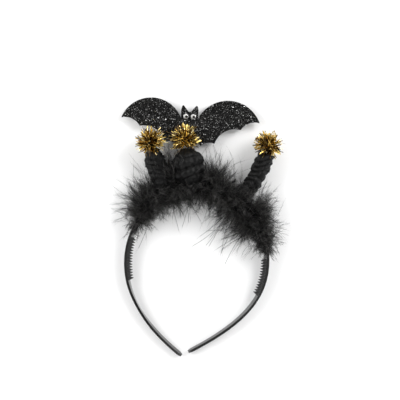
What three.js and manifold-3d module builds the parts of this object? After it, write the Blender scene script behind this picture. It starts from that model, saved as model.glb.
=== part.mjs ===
// Bat headband: a toothed hair hoop with a marabou trim, three sprung stalks with tinsel pompoms
// and a glitter foam bat, lying on its back.
// Millimetres. +Y runs from the hoop's open tips over its crown to the bat, +Z stands up from the
// surface, the way the bat looks, and +X is on the right hand of someone facing the bat. Left and
// right in names are as that person sees them. The origin is on the surface, below the crown.

import * as THREE from 'three';
import { mergeVertices } from 'three/addons/utils/BufferGeometryUtils.js';
import Module from 'manifold-3d';

const wasm = await Module();
wasm.setup();

// Clearance between neighbouring pieces, and how far a cut runs past what it cuts
const GAP = 0.3;
const CUT_OVERRUN = 1;

// Hoop: outer width, rise of the crown over the widest line, drop of each tip below it
const HOOP_WIDTH = 126;
const CROWN_RISE = 67.7;
const TIP_DROP = { left: 83.9, right: 79.9 };
const TIP_GAP = 5.6;
const BAND_THICKNESS = 2.4;
const BAND_WIDTH = 8;
const TIP_WIDTH = 5.2;
const TIP_ROUND = 5;
const TIP_BLUNTNESS = 0.25;
const CROWN_HEIGHT = 10;
const BAND_STATIONS = 46;
const TIP_STEPS = 4;

// The strip's edges are rounded off over these shares of its half thickness and half width
const EDGE_SHARE = { outerFace: 0.7, innerFace: 0.88, outerSide: 0.3, innerSide: 0.5 };

// Each arm leaves the widest line straight down and closes towards its tip. The hoop lies a little
// skewed, so the left arm bows out further than the right one.
const ARM_START_PULL = 32;
const LEFT_ARM_END_HANDLE = { x: -39.2, y: 24 };
const RIGHT_ARM_END_HANDLE = { x: 34.8, y: 24 };

// Turn of the strip about its own length, from the left tip (-1) over the crown (0) to the right (1)
const BAND_TWIST = [
  { along: -1.0, degrees: 16 },
  { along: -0.86, degrees: 11 },
  { along: -0.72, degrees: 2 },
  { along: -0.58, degrees: 10 },
  { along: -0.45, degrees: 12 },
  { along: 0.0, degrees: 0 },
  { along: 0.5, degrees: 14 },
  { along: 1.0, degrees: 13 },
];

// Comb teeth: two rows of wedges inside the hoop, from the trim's end down each arm, wider across the
// strip than along it
const COMBS = [
  { side: -1, from: 0.415, to: 0.6 },
  { side: 1, from: 0.455, to: 0.607 },
];
const TOOTH_PITCH = 2.57;
const TOOTH_HEIGHT = 3.7;
const TOOTH_ROOT_RADIUS = 1.8;
const TOOTH_TIP_RADIUS = 0.4;
const TOOTH_SINK = 0.6;
const TOOTH_BREADTH = 1.35;
const TOOTH_ROW_INSET = 1.9;
const TOOTH_SIDES = 4;

// Marabou trim: reach of the plumes from the band at each section
const BOA_SECTIONS = [
  { along: -0.385, outward: 3, inward: 5, front: 6 },
  { along: -0.35, outward: 8, inward: 9, front: 11 },
  { along: -0.31, outward: 15, inward: 12, front: 15 },
  { along: -0.25, outward: 26, inward: 13, front: 17 },
  { along: -0.19, outward: 27, inward: 15, front: 18 },
  { along: -0.11, outward: 27, inward: 19, front: 18 },
  { along: -0.03, outward: 22, inward: 20, front: 18 },
  { along: 0.03, outward: 25, inward: 20, front: 18 },
  { along: 0.08, outward: 22, inward: 23, front: 18 },
  { along: 0.16, outward: 18, inward: 28, front: 18 },
  { along: 0.23, outward: 23, inward: 29, front: 18 },
  { along: 0.29, outward: 18, inward: 24, front: 16 },
  { along: 0.34, outward: 11, inward: 16, front: 13 },
  { along: 0.38, outward: 8, inward: 9, front: 10 },
  { along: 0.42, outward: 5, inward: 4, front: 6 },
];
const BOA_CORE_SHARE = 0.74;
const BOA_BACK_REACH = 15;
const BOA_STATIONS = 22;
const BOA_SIDES = 10;
const LOCK_ROWS = 12;
const LOCKS_PER_ROW = 6;
const LOCK_SIDES = 3;
const LOCK_RINGS = 2;
const LOCK_RADIUS = 5.6;
const LOCK_TIP_RADIUS = 0.7;
const LOCK_ROOT_SHARE = 0.4;
const LOCK_SWEEP = 7;
const LOCK_FIRST_ANGLE = -40;
const LOCK_FAN = 260;
const LOCK_SEED = 31;

// How far the plumes stray from even places: along the band, in turn (radians) and in reach
const LOCK_STRAY = { along: 0.012, turn: 0.2, reach: 0.14 };

// First of the places up a stalk that plumes keep clear of
const STALK_CLEAR_FROM = 3;

// Passage of the band through the trim, and the surface the trim lies on
const PASSAGE_OVERRUN = 0.06;
const SLAB_DEPTH = 60;

// Stalks: where each leaves the band, a point it passes through, its pompom's centre, its radius and
// the share of that left at its neck
const STALKS = [
  {
    side: 'left', foot: -0.168, through: [-46.3, 13.5, 14], pompom: [-53.2, 30.4, 19],
    radius: 9, neck: 0.75, puffs: 7, seed: 3,
  },
  {
    side: 'centre', foot: -0.045, through: [-18, 17, 15.6], pompom: [-22.9, 36.7, 16.4],
    radius: 14, neck: 0.6, puffs: 4, seed: 5,
  },
  {
    side: 'right', foot: 0.168, through: [42.8, 14.5, 11.5], pompom: [50.9, 41.2, 13.5],
    radius: 7.6, neck: 0.9, puffs: 8, seed: 7,
  },
];
const SLEEVE_WALL = 3;
const SLEEVE_SIDES = 10;
const SLEEVE_RINGS_PER_PUFF = 3;
const SLEEVE_FOOT_SHARE = 0.72;
const SLEEVE_FOOT_TO = 0.4;
const SLEEVE_NECK_FROM = 0.75;
const PUFF_DEPTH = 0.17;
const PLEAT_DEPTH = 0.05;
const POST_SIDES = 8;
const POST_RINGS = 6;

// Tinsel pompoms: a knot with strips standing out all round
const POMPOM_RADIUS = 13.2;
const POMPOM_KNOT_RADIUS = 9;
const POMPOM_STRIPS = 38;
const STRIP_SIDES = 3;
const STRIP_ROOT_WIDTH = 2.6;
const STRIP_TIP_WIDTH = 1.1;
const STRIP_FLATNESS = 0.55;
const STRIP_SHORTEST = 0.86;
const STALK_SIDE_COSINE = 0.62;

// Bat: origin midway between the wing tips, +x along the wings, +y towards the ears; the head sits a
// little aside of that
const BAT_PLACE = { x: -21.2, y: 55.5, turnDegrees: 4.8 };
const BAT_THICKNESS = 2.5;
const WING_TIP = { x: 60.9, y: 0 };
const WING_ROOT = { x: 7.5, y: 1.7 };
const WING_ARCH = 17.6;
const WING_POINT_OUTER = { x: 44.6, y: -6.8 };
const WING_POINT_INNER = { x: 22, y: -19.9 };
const BODY_SIDE = { x: 9.9, y: -22.2 };
const OUTER_SCALLOP = 2.9;
const MIDDLE_SCALLOP = 5.2;
const INNER_SCALLOP = 1.9;
const BODY_NOTCH = 4;
const BODY_NOTCH_CORNER = 0.7;
const HEAD_ASIDE = -0.9;
const EAR_TIP = { x: 5.9, y: 12.9 };
const EAR_TIP_ROUND = 1;
const EAR_NOTCH = { x: 0.9, y: 7.2 };
const CHEEK = { x: 7.6, y: 9 };
const ARC_DIVISIONS = 5;
const SAME_POINT = 0.01;

// Eyes: white back, loose black pupil and clear dome
const EYE_OFFSET = { x: 3.2, y: 3.1 };
const EYE_RADIUS = 2.3;
const EYE_BACK_THICKNESS = 0.7;
const EYE_DOME_HEIGHT = 1.7;
const EYE_DOME_WALL = 0.4;
const PUPIL_RADIUS = 1.15;
const PUPIL_THICKNESS = 0.35;
const PUPIL_SHIFT = { x: 0.45, y: -0.45 };
const EYE_SEGMENTS = 12;
const EYE_DOME_STEPS = 3;

const MATERIALS = {
  plastic: new THREE.MeshStandardMaterial({ color: 0x141416, roughness: 0.35, metalness: 0 }),
  plume: new THREE.MeshStandardMaterial({ color: 0x0e0d0e, roughness: 0.9, metalness: 0 }),
  sleeve: new THREE.MeshStandardMaterial({ color: 0x161517, roughness: 0.8, metalness: 0 }),
  wire: new THREE.MeshStandardMaterial({ color: 0x2b2b2e, roughness: 0.5, metalness: 0.6 }),
  tinsel: new THREE.MeshStandardMaterial({ color: 0xb57a1c, roughness: 0.3, metalness: 0.9 }),
  foam: new THREE.MeshStandardMaterial({ color: 0x121214, roughness: 0.6, metalness: 0.1 }),
  white: new THREE.MeshStandardMaterial({ color: 0xf2f0ea, roughness: 0.4, metalness: 0 }),
  black: new THREE.MeshStandardMaterial({ color: 0x0a0a0a, roughness: 0.4, metalness: 0 }),
  clear: new THREE.MeshStandardMaterial({
    color: 0xffffff, roughness: 0.05, metalness: 0, transparent: true, opacity: 0.25,
  }),
};

// Closed solids as boundary meshes that can be joined and cut

function toSolid(geometry) {
  const bare = geometry.clone();
  bare.deleteAttribute('normal');
  bare.deleteAttribute('uv');
  const merged = mergeVertices(bare, 1e-4);
  const vertProperties = new Float32Array(merged.attributes.position.array);
  const triVerts = new Uint32Array(merged.index.array);
  return new wasm.Manifold(new wasm.Mesh({ numProp: 3, vertProperties, triVerts }));
}

function toGeometry(solid) {
  const mesh = solid.getMesh();
  const geometry = new THREE.BufferGeometry();
  geometry.setAttribute('position', new THREE.BufferAttribute(mesh.vertProperties, 3));
  geometry.setIndex(new THREE.BufferAttribute(mesh.triVerts, 1));
  geometry.computeVertexNormals();
  return geometry;
}

function joinAll(geometries) {
  let whole = toSolid(geometries[0]);
  for (const geometry of geometries.slice(1)) {
    whole = whole.add(toSolid(geometry));
  }
  return whole;
}

function signedVolume(points, triangles) {
  let sum = 0;
  for (let i = 0; i < triangles.length; i += 3) {
    const a = points[triangles[i]];
    const b = points[triangles[i + 1]];
    const c = points[triangles[i + 2]];
    sum += a.dot(new THREE.Vector3().crossVectors(b, c)) / 6;
  }
  return sum;
}

// A closed solid through rings of equal count, each end closed by a fan
function loft(rings) {
  const sides = rings[0].length;
  const points = rings.flat();
  const triangles = [];
  for (let r = 0; r + 1 < rings.length; r += 1) {
    for (let k = 0; k < sides; k += 1) {
      const a = r * sides + k;
      const b = r * sides + ((k + 1) % sides);
      triangles.push(a, b, a + sides, b, b + sides, a + sides);
    }
  }
  const last = (rings.length - 1) * sides;
  for (let k = 1; k + 1 < sides; k += 1) {
    triangles.push(0, k + 1, k, last, last + k, last + k + 1);
  }
  if (signedVolume(points, triangles) < 0) {
    triangles.reverse();
  }
  const geometry = new THREE.BufferGeometry().setFromPoints(points);
  geometry.setIndex(triangles);
  return geometry;
}

// Value of a column at a place along the band, eased between the rows of a table
function tableValue(rows, column, along) {
  const clamped = THREE.MathUtils.clamp(along, rows[0].along, rows[rows.length - 1].along);
  const next = Math.max(1, rows.findIndex((row) => row.along >= clamped));
  const before = rows[next - 1];
  const after = rows[next];
  const share = THREE.MathUtils.smoothstep(clamped, before.along, after.along);
  return THREE.MathUtils.lerp(before[column], after[column], share);
}

// Hoop line: left arm, elliptical crown, right arm, through the middle of the strip's thickness

const HALF_WIDTH = (HOOP_WIDTH - BAND_THICKNESS) / 2;
const HALF_RISE = CROWN_RISE - BAND_THICKNESS / 2;
const WIDEST_Y = -CROWN_RISE;

// Points of an arm from the widest line to its tip; side is -1 on the left and 1 on the right
function armPoints(side, drop, handle) {
  const tip = new THREE.Vector2((side * TIP_GAP) / 2, WIDEST_Y - drop);
  return [
    new THREE.Vector2(side * HALF_WIDTH, WIDEST_Y),
    new THREE.Vector2(side * HALF_WIDTH, WIDEST_Y - ARM_START_PULL),
    new THREE.Vector2(tip.x + handle.x, tip.y + handle.y),
    tip,
  ];
}

function hoopCurve() {
  const left = armPoints(-1, TIP_DROP.left, LEFT_ARM_END_HANDLE);
  const right = armPoints(1, TIP_DROP.right, RIGHT_ARM_END_HANDLE);
  const line = new THREE.CurvePath();
  line.add(new THREE.CubicBezierCurve(...left.reverse()));
  line.add(new THREE.EllipseCurve(0, WIDEST_Y, HALF_WIDTH, HALF_RISE, Math.PI, 0, true));
  line.add(new THREE.CubicBezierCurve(...right));
  return line;
}

const HOOP_LINE = hoopCurve();
const HALF_LENGTH = HOOP_LINE.getLength() / 2;

// The strip leans from its tips on the surface up to the crown on the trim
function bandHeight(y) {
  const tipY = WIDEST_Y - Math.max(TIP_DROP.left, TIP_DROP.right);
  return THREE.MathUtils.mapLinear(y, tipY, 0, TIP_WIDTH / 2, CROWN_HEIGHT);
}

function bandFrame(along) {
  const t = (along + 1) / 2;
  const flat = HOOP_LINE.getPoint(t);
  const heading = HOOP_LINE.getTangent(t);
  const twist = THREE.MathUtils.degToRad(tableValue(BAND_TWIST, 'degrees', along));
  const level = new THREE.Vector3(heading.y, -heading.x, 0);
  const up = new THREE.Vector3(0, 0, 1);
  const inward = level.clone().multiplyScalar(Math.cos(twist)).addScaledVector(up, Math.sin(twist));
  const across = up.clone().multiplyScalar(Math.cos(twist)).addScaledVector(level, -Math.sin(twist));
  const centre = new THREE.Vector3(flat.x, flat.y, bandHeight(flat.y));
  return { centre, level, inward, across, heading: new THREE.Vector3(heading.x, heading.y, 0) };
}

function bandWidth(along) {
  const fromTip = (1 - Math.abs(along)) * HALF_LENGTH;
  const plain = THREE.MathUtils.lerp(TIP_WIDTH, BAND_WIDTH, Math.min(1, 2 * (1 - Math.abs(along))));
  const inside = Math.min(1, fromTip / TIP_ROUND);
  return plain * Math.max(TIP_BLUNTNESS, Math.sqrt(1 - (1 - inside) ** 2));
}

function offsetPoint(frame, inward, across) {
  return frame.centre.clone().addScaledVector(frame.inward, inward).addScaledVector(frame.across, across);
}

// Flat inside, softened edges, slightly crowned outside
function bandSection(along) {
  const frame = bandFrame(along);
  const half = BAND_THICKNESS / 2;
  const edge = bandWidth(along) / 2;
  const upperHalf = [
    [-half, EDGE_SHARE.outerFace * edge],
    [-EDGE_SHARE.outerSide * half, edge],
    [EDGE_SHARE.innerSide * half, edge],
    [half, EDGE_SHARE.innerFace * edge],
  ];
  const lowerHalf = upperHalf.map(([inward, across]) => [inward, -across]).reverse();
  return [...upperHalf, ...lowerHalf].map(([inward, across]) => offsetPoint(frame, inward, across));
}

function toothAt(along, row) {
  const frame = bandFrame(along);
  const across = row * (bandWidth(along) / 2 - TOOTH_ROW_INSET);
  const length = TOOTH_HEIGHT + TOOTH_SINK;
  const tooth = new THREE.CylinderGeometry(TOOTH_TIP_RADIUS, TOOTH_ROOT_RADIUS, length, TOOTH_SIDES);
  tooth.rotateY(Math.PI / TOOTH_SIDES).scale(1, 1, TOOTH_BREADTH);
  const middle = offsetPoint(frame, BAND_THICKNESS / 2 - TOOTH_SINK + length / 2, across);
  const turn = new THREE.Matrix4().makeBasis(frame.heading.clone().negate(), frame.inward, frame.across);
  tooth.applyMatrix4(turn.setPosition(middle));
  return tooth;
}

// Even stations from tip to tip, with closer ones round each tip
function bandStations() {
  const rounding = TIP_ROUND / HALF_LENGTH;
  const stations = [];
  for (let i = 0; i <= BAND_STATIONS; i += 1) {
    stations.push((1 - rounding) * (-1 + (2 * i) / BAND_STATIONS));
  }
  for (let i = 1; i <= TIP_STEPS; i += 1) {
    const past = rounding * Math.sin(((Math.PI / 2) * i) / TIP_STEPS);
    stations.unshift(-1 + rounding - past);
    stations.push(1 - rounding + past);
  }
  return stations;
}

function makeHoopBand() {
  const pieces = [loft(bandStations().map(bandSection))];
  for (const comb of COMBS) {
    for (let along = comb.from; along < comb.to; along += TOOTH_PITCH / HALF_LENGTH) {
      pieces.push(toothAt(comb.side * along, -1), toothAt(comb.side * along, 1));
    }
  }
  return toGeometry(joinAll(pieces));
}

// Stalks: a curved centre line from the band to the pompom's knot

function stalkCurve(stalk) {
  const frame = bandFrame(stalk.foot);
  const foot = frame.centre.clone().addScaledVector(frame.level, -BAND_THICKNESS / 2 - GAP);
  const through = new THREE.Vector3(...stalk.through);
  const pompom = new THREE.Vector3(...stalk.pompom);
  const whole = new THREE.CatmullRomCurve3([foot, through, pompom], false, 'centripetal');
  const share = 1 - (POMPOM_KNOT_RADIUS + GAP) / whole.getLength();
  return {
    at: (fraction) => whole.getPointAt(share * fraction),
    heading: (fraction) => whole.getTangentAt(share * fraction),
  };
}

// Tube along a stalk whose radius depends on the place along and round it
function stalkTube(curve, sides, rings, radiusAt) {
  const sections = [];
  const up = new THREE.Vector3(0, 0, 1);
  for (let i = 0; i <= rings; i += 1) {
    const fraction = i / rings;
    const centre = curve.at(fraction);
    const heading = curve.heading(fraction);
    const aside = new THREE.Vector3().crossVectors(heading, up).normalize();
    const above = new THREE.Vector3().crossVectors(aside, heading);
    const ring = [];
    for (let k = 0; k < sides; k += 1) {
      const angle = (2 * Math.PI * k) / sides;
      const radius = radiusAt(fraction, k);
      const point = centre.clone().addScaledVector(aside, radius * Math.cos(angle));
      ring.push(point.addScaledVector(above, radius * Math.sin(angle)));
    }
    sections.push(ring);
  }
  return loft(sections);
}

// Share of a stalk's full girth: gathered in at the foot on the band and at the neck
function girthShare(stalk, fraction) {
  const spread = THREE.MathUtils.smoothstep(fraction, 0, SLEEVE_FOOT_TO);
  const drawn = THREE.MathUtils.smoothstep(fraction, SLEEVE_NECK_FROM, 1);
  const foot = THREE.MathUtils.lerp(SLEEVE_FOOT_SHARE, 1, spread);
  const neck = THREE.MathUtils.lerp(1, stalk.neck, drawn);
  return foot * neck;
}

// Puffs between the gathers, with pleats drawn in round them
function sleeveRadius(stalk, fraction, k) {
  const puff = Math.sqrt(Math.abs(Math.sin(Math.PI * stalk.puffs * fraction)));
  const pleat = k % 2 === 0 ? PLEAT_DEPTH : -PLEAT_DEPTH;
  return stalk.radius * girthShare(stalk, fraction) * (1 - PUFF_DEPTH * (1 - puff)) * (1 + pleat);
}

function postRadius(stalk, fraction) {
  return (stalk.radius - SLEEVE_WALL) * girthShare(stalk, fraction);
}

function makeSleeve(stalk) {
  const curve = stalkCurve(stalk);
  const rings = stalk.puffs * SLEEVE_RINGS_PER_PUFF;
  const outside = stalkTube(curve, SLEEVE_SIDES, rings, (f, k) => sleeveRadius(stalk, f, k));
  const bore = boreCurve(curve);
  const inside = stalkTube(bore, POST_SIDES, POST_RINGS, (f) => postRadius(stalk, f) + GAP);
  return toGeometry(seatOnBand(toSolid(outside).subtract(toSolid(inside))));
}

// The same line run a little past both ends, so that a cut along it comes out clean
function boreCurve(curve) {
  const first = curve.at(0).addScaledVector(curve.heading(0), -CUT_OVERRUN);
  const last = curve.at(1).addScaledVector(curve.heading(1), CUT_OVERRUN);
  return {
    at: (f) => (f === 0 ? first.clone() : f === 1 ? last.clone() : curve.at(f)),
    heading: (f) => curve.heading(f),
  };
}

function makePost(stalk) {
  const post = stalkTube(stalkCurve(stalk), POST_SIDES, POST_RINGS, (f) => postRadius(stalk, f));
  return toGeometry(seatOnBand(toSolid(post)));
}

// Foot shaped to the outside of the band
function seatOnBand(solid) {
  return solid.subtract(toSolid(bandPassage()));
}

// Marabou trim: a soft core round the band with plumes standing off it

function boaReach(along, angle) {
  const aside = Math.cos(angle);
  const above = Math.sin(angle);
  const level = tableValue(BOA_SECTIONS, aside > 0 ? 'outward' : 'inward', along);
  const upright = above > 0 ? tableValue(BOA_SECTIONS, 'front', along) : BOA_BACK_REACH;
  return { outward: level * aside, upward: upright * above };
}

function boaPoint(along, angle, share) {
  const frame = bandFrame(along);
  const reach = boaReach(along, angle);
  const point = frame.centre.clone().addScaledVector(frame.level, -share * reach.outward);
  point.z += share * reach.upward;
  return point;
}

function boaCore() {
  const from = BOA_SECTIONS[0].along;
  const to = BOA_SECTIONS[BOA_SECTIONS.length - 1].along;
  const sections = [];
  for (let i = 0; i <= BOA_STATIONS; i += 1) {
    const along = THREE.MathUtils.lerp(from, to, i / BOA_STATIONS);
    const ring = [];
    for (let k = 0; k < BOA_SIDES; k += 1) {
      ring.push(boaPoint(along, (2 * Math.PI * (k + 0.5)) / BOA_SIDES, BOA_CORE_SHARE));
    }
    sections.push(ring);
  }
  return loft(sections);
}

// Line of one plume from inside the core to its tip, bent along the band
function plumeLine(along, angle, reachShare, sweep) {
  const heading = bandFrame(along).heading;
  const root = boaPoint(along, angle, LOCK_ROOT_SHARE);
  const tip = boaPoint(along, angle, reachShare).addScaledVector(heading, sweep);
  const middle = root.clone().lerp(tip, 0.5).addScaledVector(heading, -sweep / 4);
  return new THREE.QuadraticBezierCurve3(root, middle, tip);
}

function plumeLock(line) {
  const curve = { at: (f) => line.getPointAt(f), heading: (f) => line.getTangentAt(f) };
  const taper = (f) => THREE.MathUtils.lerp(LOCK_RADIUS, LOCK_TIP_RADIUS, f * f);
  return stalkTube(curve, LOCK_SIDES, LOCK_RINGS, taper);
}

// True where the outer half of a plume stays beside the stalks, above their feet
function besideStalks(line) {
  for (const stalk of STALKS) {
    const curve = stalkCurve(stalk);
    for (let i = STALK_CLEAR_FROM; i <= 2 * POST_RINGS; i += 1) {
      const place = curve.at(i / (2 * POST_RINGS));
      const nearest = Math.min(place.distanceTo(line.v1), place.distanceTo(line.v2));
      if (nearest < stalk.radius + LOCK_RADIUS) {
        return false;
      }
    }
  }
  return true;
}

function plumeLocks() {
  THREE.MathUtils.seededRandom(LOCK_SEED);
  const spread = (amount) => amount * (2 * THREE.MathUtils.seededRandom() - 1);
  const from = BOA_SECTIONS[0].along;
  const to = BOA_SECTIONS[BOA_SECTIONS.length - 1].along;
  const locks = [];
  for (let row = 0; row < LOCK_ROWS; row += 1) {
    for (let k = 0; k < LOCKS_PER_ROW; k += 1) {
      const along = THREE.MathUtils.lerp(from, to, (row + 0.5) / LOCK_ROWS) + spread(LOCK_STRAY.along);
      const share = (k + 0.5 * (row % 2)) / LOCKS_PER_ROW;
      const angle = THREE.MathUtils.degToRad(LOCK_FIRST_ANGLE + LOCK_FAN * share) + spread(LOCK_STRAY.turn);
      const line = plumeLine(along, angle, 1 + spread(LOCK_STRAY.reach), spread(LOCK_SWEEP));
      if (besideStalks(line)) {
        locks.push(plumeLock(line));
      }
    }
  }
  return locks;
}

// Passage for the band through the trim
function bandPassage() {
  const limit = BOA_SECTIONS[BOA_SECTIONS.length - 1].along + PASSAGE_OVERRUN;
  const sections = [];
  for (let i = 0; i <= BOA_STATIONS; i += 1) {
    const along = THREE.MathUtils.lerp(-limit, limit, i / BOA_STATIONS);
    const frame = bandFrame(along);
    const thick = BAND_THICKNESS / 2 + GAP;
    const wide = bandWidth(along) / 2 + GAP;
    const corners = [[-thick, -wide], [-thick, wide], [thick, wide], [thick, -wide]];
    sections.push(corners.map(([inward, across]) => offsetPoint(frame, inward, across)));
  }
  return loft(sections);
}

// Everything below the surface that the trim is pressed flat on
function belowSurface() {
  const slab = new THREE.BoxGeometry(4 * HOOP_WIDTH, 4 * HOOP_WIDTH, SLAB_DEPTH);
  return slab.translate(0, 0, -SLAB_DEPTH / 2);
}

function makeBoa() {
  let boa = joinAll([boaCore(), ...plumeLocks()]);
  for (const stalk of STALKS) {
    const room = (stalk.radius * (1 + PLEAT_DEPTH) + GAP) / Math.cos(Math.PI / SLEEVE_SIDES);
    const passage = stalkTube(boreCurve(stalkCurve(stalk)), SLEEVE_SIDES, POST_RINGS, () => room);
    boa = boa.subtract(toSolid(passage));
  }
  boa = boa.subtract(toSolid(bandPassage())).subtract(toSolid(belowSurface()));
  return toGeometry(boa);
}

// Pompom: strips spread evenly over a ball, none where the stalk or the bat is

function stripAt(direction, length) {
  const strip = new THREE.CylinderGeometry(STRIP_TIP_WIDTH, STRIP_ROOT_WIDTH, length, STRIP_SIDES);
  strip.scale(1, 1, STRIP_FLATNESS);
  strip.translate(0, length / 2, 0);
  const turn = new THREE.Quaternion().setFromUnitVectors(new THREE.Vector3(0, 1, 0), direction);
  strip.applyQuaternion(turn);
  return strip;
}

function makePompom(stalk, lowest) {
  THREE.MathUtils.seededRandom(stalk.seed);
  const towardsStalk = stalkCurve(stalk).heading(1).negate();
  const pieces = [new THREE.IcosahedronGeometry(POMPOM_KNOT_RADIUS, 1)];
  const goldenAngle = Math.PI * (3 - Math.sqrt(5));
  for (let i = 0; i < POMPOM_STRIPS; i += 1) {
    const z = 1 - (2 * i + 1) / POMPOM_STRIPS;
    const level = Math.sqrt(1 - z * z);
    const angle = i * goldenAngle;
    const direction = new THREE.Vector3(level * Math.cos(angle), level * Math.sin(angle), z);
    const shrink = THREE.MathUtils.lerp(STRIP_SHORTEST, 1, THREE.MathUtils.seededRandom());
    const length = POMPOM_RADIUS * shrink;
    const end = stalk.pompom[2] + length * z - STRIP_ROOT_WIDTH;
    if (direction.dot(towardsStalk) < STALK_SIDE_COSINE && end > lowest) {
      pieces.push(stripAt(direction, length));
    }
  }
  return toGeometry(joinAll(pieces)).translate(...stalk.pompom);
}

// Bat: half outline with arcs between its points, mirrored

function arcTo(path, from, to, rise) {
  const chord = new THREE.Vector2(to.x - from.x, to.y - from.y);
  const half = chord.length() / 2;
  const radius = (half * half + rise * rise) / (2 * rise);
  const left = new THREE.Vector2(-chord.y, chord.x).normalize();
  const centre = new THREE.Vector2((from.x + to.x) / 2, (from.y + to.y) / 2);
  centre.addScaledVector(left, rise - radius);
  const start = Math.atan2(from.y - centre.y, from.x - centre.x);
  const end = Math.atan2(to.y - centre.y, to.x - centre.x);
  path.absarc(centre.x, centre.y, Math.abs(radius), start, end, rise > 0);
}

// Half of the outline for x over 0, with the head moved sideways between the wings
function batHalf(headAside) {
  const half = new THREE.Path();
  const earX = EAR_TIP.x + headAside;
  const root = { x: WING_ROOT.x + headAside, y: WING_ROOT.y };
  half.moveTo(headAside, EAR_NOTCH.y);
  half.lineTo(EAR_NOTCH.x + headAside, EAR_NOTCH.y);
  half.lineTo(earX - EAR_TIP_ROUND, EAR_TIP.y - EAR_TIP_ROUND);
  const earOuter = { x: earX + EAR_TIP_ROUND, y: EAR_TIP.y - EAR_TIP_ROUND };
  half.quadraticCurveTo(earX, EAR_TIP.y + EAR_TIP_ROUND, earOuter.x, earOuter.y);
  half.lineTo(CHEEK.x + headAside, CHEEK.y);
  half.lineTo(root.x, root.y);
  arcTo(half, root, WING_TIP, WING_ARCH);
  arcTo(half, WING_TIP, WING_POINT_OUTER, -OUTER_SCALLOP);
  arcTo(half, WING_POINT_OUTER, WING_POINT_INNER, -MIDDLE_SCALLOP);
  arcTo(half, WING_POINT_INNER, BODY_SIDE, -INNER_SCALLOP);
  const notchY = BODY_SIDE.y + BODY_NOTCH;
  half.quadraticCurveTo(BODY_NOTCH_CORNER * BODY_SIDE.x, notchY, 0, notchY);
  const points = half.getPoints(ARC_DIVISIONS);
  return points.filter((p, i) => i === 0 || p.distanceTo(points[i - 1]) > SAME_POINT);
}

function batPanel() {
  const right = batHalf(HEAD_ASIDE);
  const left = batHalf(-HEAD_ASIDE).slice(1, -1).reverse().map((p) => new THREE.Vector2(-p.x, p.y));
  const shape = new THREE.Shape([...right, ...left]);
  return new THREE.ExtrudeGeometry(shape, { depth: BAT_THICKNESS, bevelEnabled: false });
}

// Eye pieces, stacked along +z from the bat's face

function eyeBack() {
  const back = new THREE.CylinderGeometry(EYE_RADIUS, EYE_RADIUS, EYE_BACK_THICKNESS, EYE_SEGMENTS);
  return back.rotateX(Math.PI / 2).translate(0, 0, EYE_BACK_THICKNESS / 2);
}

function eyePupil() {
  const pupil = new THREE.CylinderGeometry(PUPIL_RADIUS, PUPIL_RADIUS, PUPIL_THICKNESS, EYE_SEGMENTS);
  return pupil.rotateX(Math.PI / 2).translate(0, 0, PUPIL_THICKNESS / 2);
}

function domeProfile(radius, height) {
  const profile = [];
  for (let i = 0; i < EYE_DOME_STEPS; i += 1) {
    const angle = (Math.PI / 2) * (i / EYE_DOME_STEPS);
    profile.push(new THREE.Vector2(radius * Math.cos(angle), height * Math.sin(angle)));
  }
  profile.push(new THREE.Vector2(0, height));
  return profile;
}

function eyeDome() {
  const outside = domeProfile(EYE_RADIUS, EYE_DOME_HEIGHT);
  const inside = domeProfile(EYE_RADIUS - EYE_DOME_WALL, EYE_DOME_HEIGHT - EYE_DOME_WALL);
  const profile = [...inside.reverse(), ...outside];
  return new THREE.LatheGeometry(profile, EYE_SEGMENTS).rotateX(Math.PI / 2);
}

function piece(name, geometry, material) {
  const mesh = new THREE.Mesh(geometry, material);
  mesh.name = name;
  return mesh;
}

function makeBat(backHeight) {
  const bat = new THREE.Group();
  bat.position.set(BAT_PLACE.x, BAT_PLACE.y, backHeight);
  bat.rotation.z = THREE.MathUtils.degToRad(BAT_PLACE.turnDegrees);
  bat.add(piece('bat_panel', batPanel(), MATERIALS.foam));
  for (const [side, sign] of [['left', -1], ['right', 1]]) {
    const eye = new THREE.Group();
    eye.position.set(sign * EYE_OFFSET.x + HEAD_ASIDE, EYE_OFFSET.y, BAT_THICKNESS + GAP);
    const back = piece(`eye_back_${side}`, eyeBack(), MATERIALS.white);
    const pupil = piece(`eye_pupil_${side}`, eyePupil(), MATERIALS.black);
    pupil.position.set(PUPIL_SHIFT.x, PUPIL_SHIFT.y, EYE_BACK_THICKNESS + GAP);
    const dome = piece(`eye_dome_${side}`, eyeDome(), MATERIALS.clear);
    dome.position.z = EYE_BACK_THICKNESS + GAP;
    eye.add(back, pupil, dome);
    bat.add(eye);
  }
  return bat;
}

const headband = new THREE.Group();
headband.add(piece('hoop_band', makeHoopBand(), MATERIALS.plastic));
headband.add(piece('marabou_boa', makeBoa(), MATERIALS.plume));

const centreStalk = STALKS.find((stalk) => stalk.side === 'centre');
const batBack = centreStalk.pompom[2] - POMPOM_KNOT_RADIUS - GAP - BAT_THICKNESS;
const batFront = batBack + BAT_THICKNESS + GAP;
for (const stalk of STALKS) {
  const lowest = stalk.side === 'right' ? 0 : batFront;
  headband.add(piece(`sleeve_${stalk.side}`, makeSleeve(stalk), MATERIALS.sleeve));
  headband.add(piece(`post_${stalk.side}`, makePost(stalk), MATERIALS.wire));
  headband.add(piece(`pompom_${stalk.side}`, makePompom(stalk, lowest), MATERIALS.tinsel));
}
headband.add(makeBat(batBack));

export default headband;
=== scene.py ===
"""Bat headband lying on its back: the looks of each piece, in the frame of its solids.

Metres. +Y runs from the hoop's open tips over its crown to the bat, +Z stands up from the floor.
Left and right are as someone facing the bat sees them.
"""

import math
from collections import namedtuple

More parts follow.
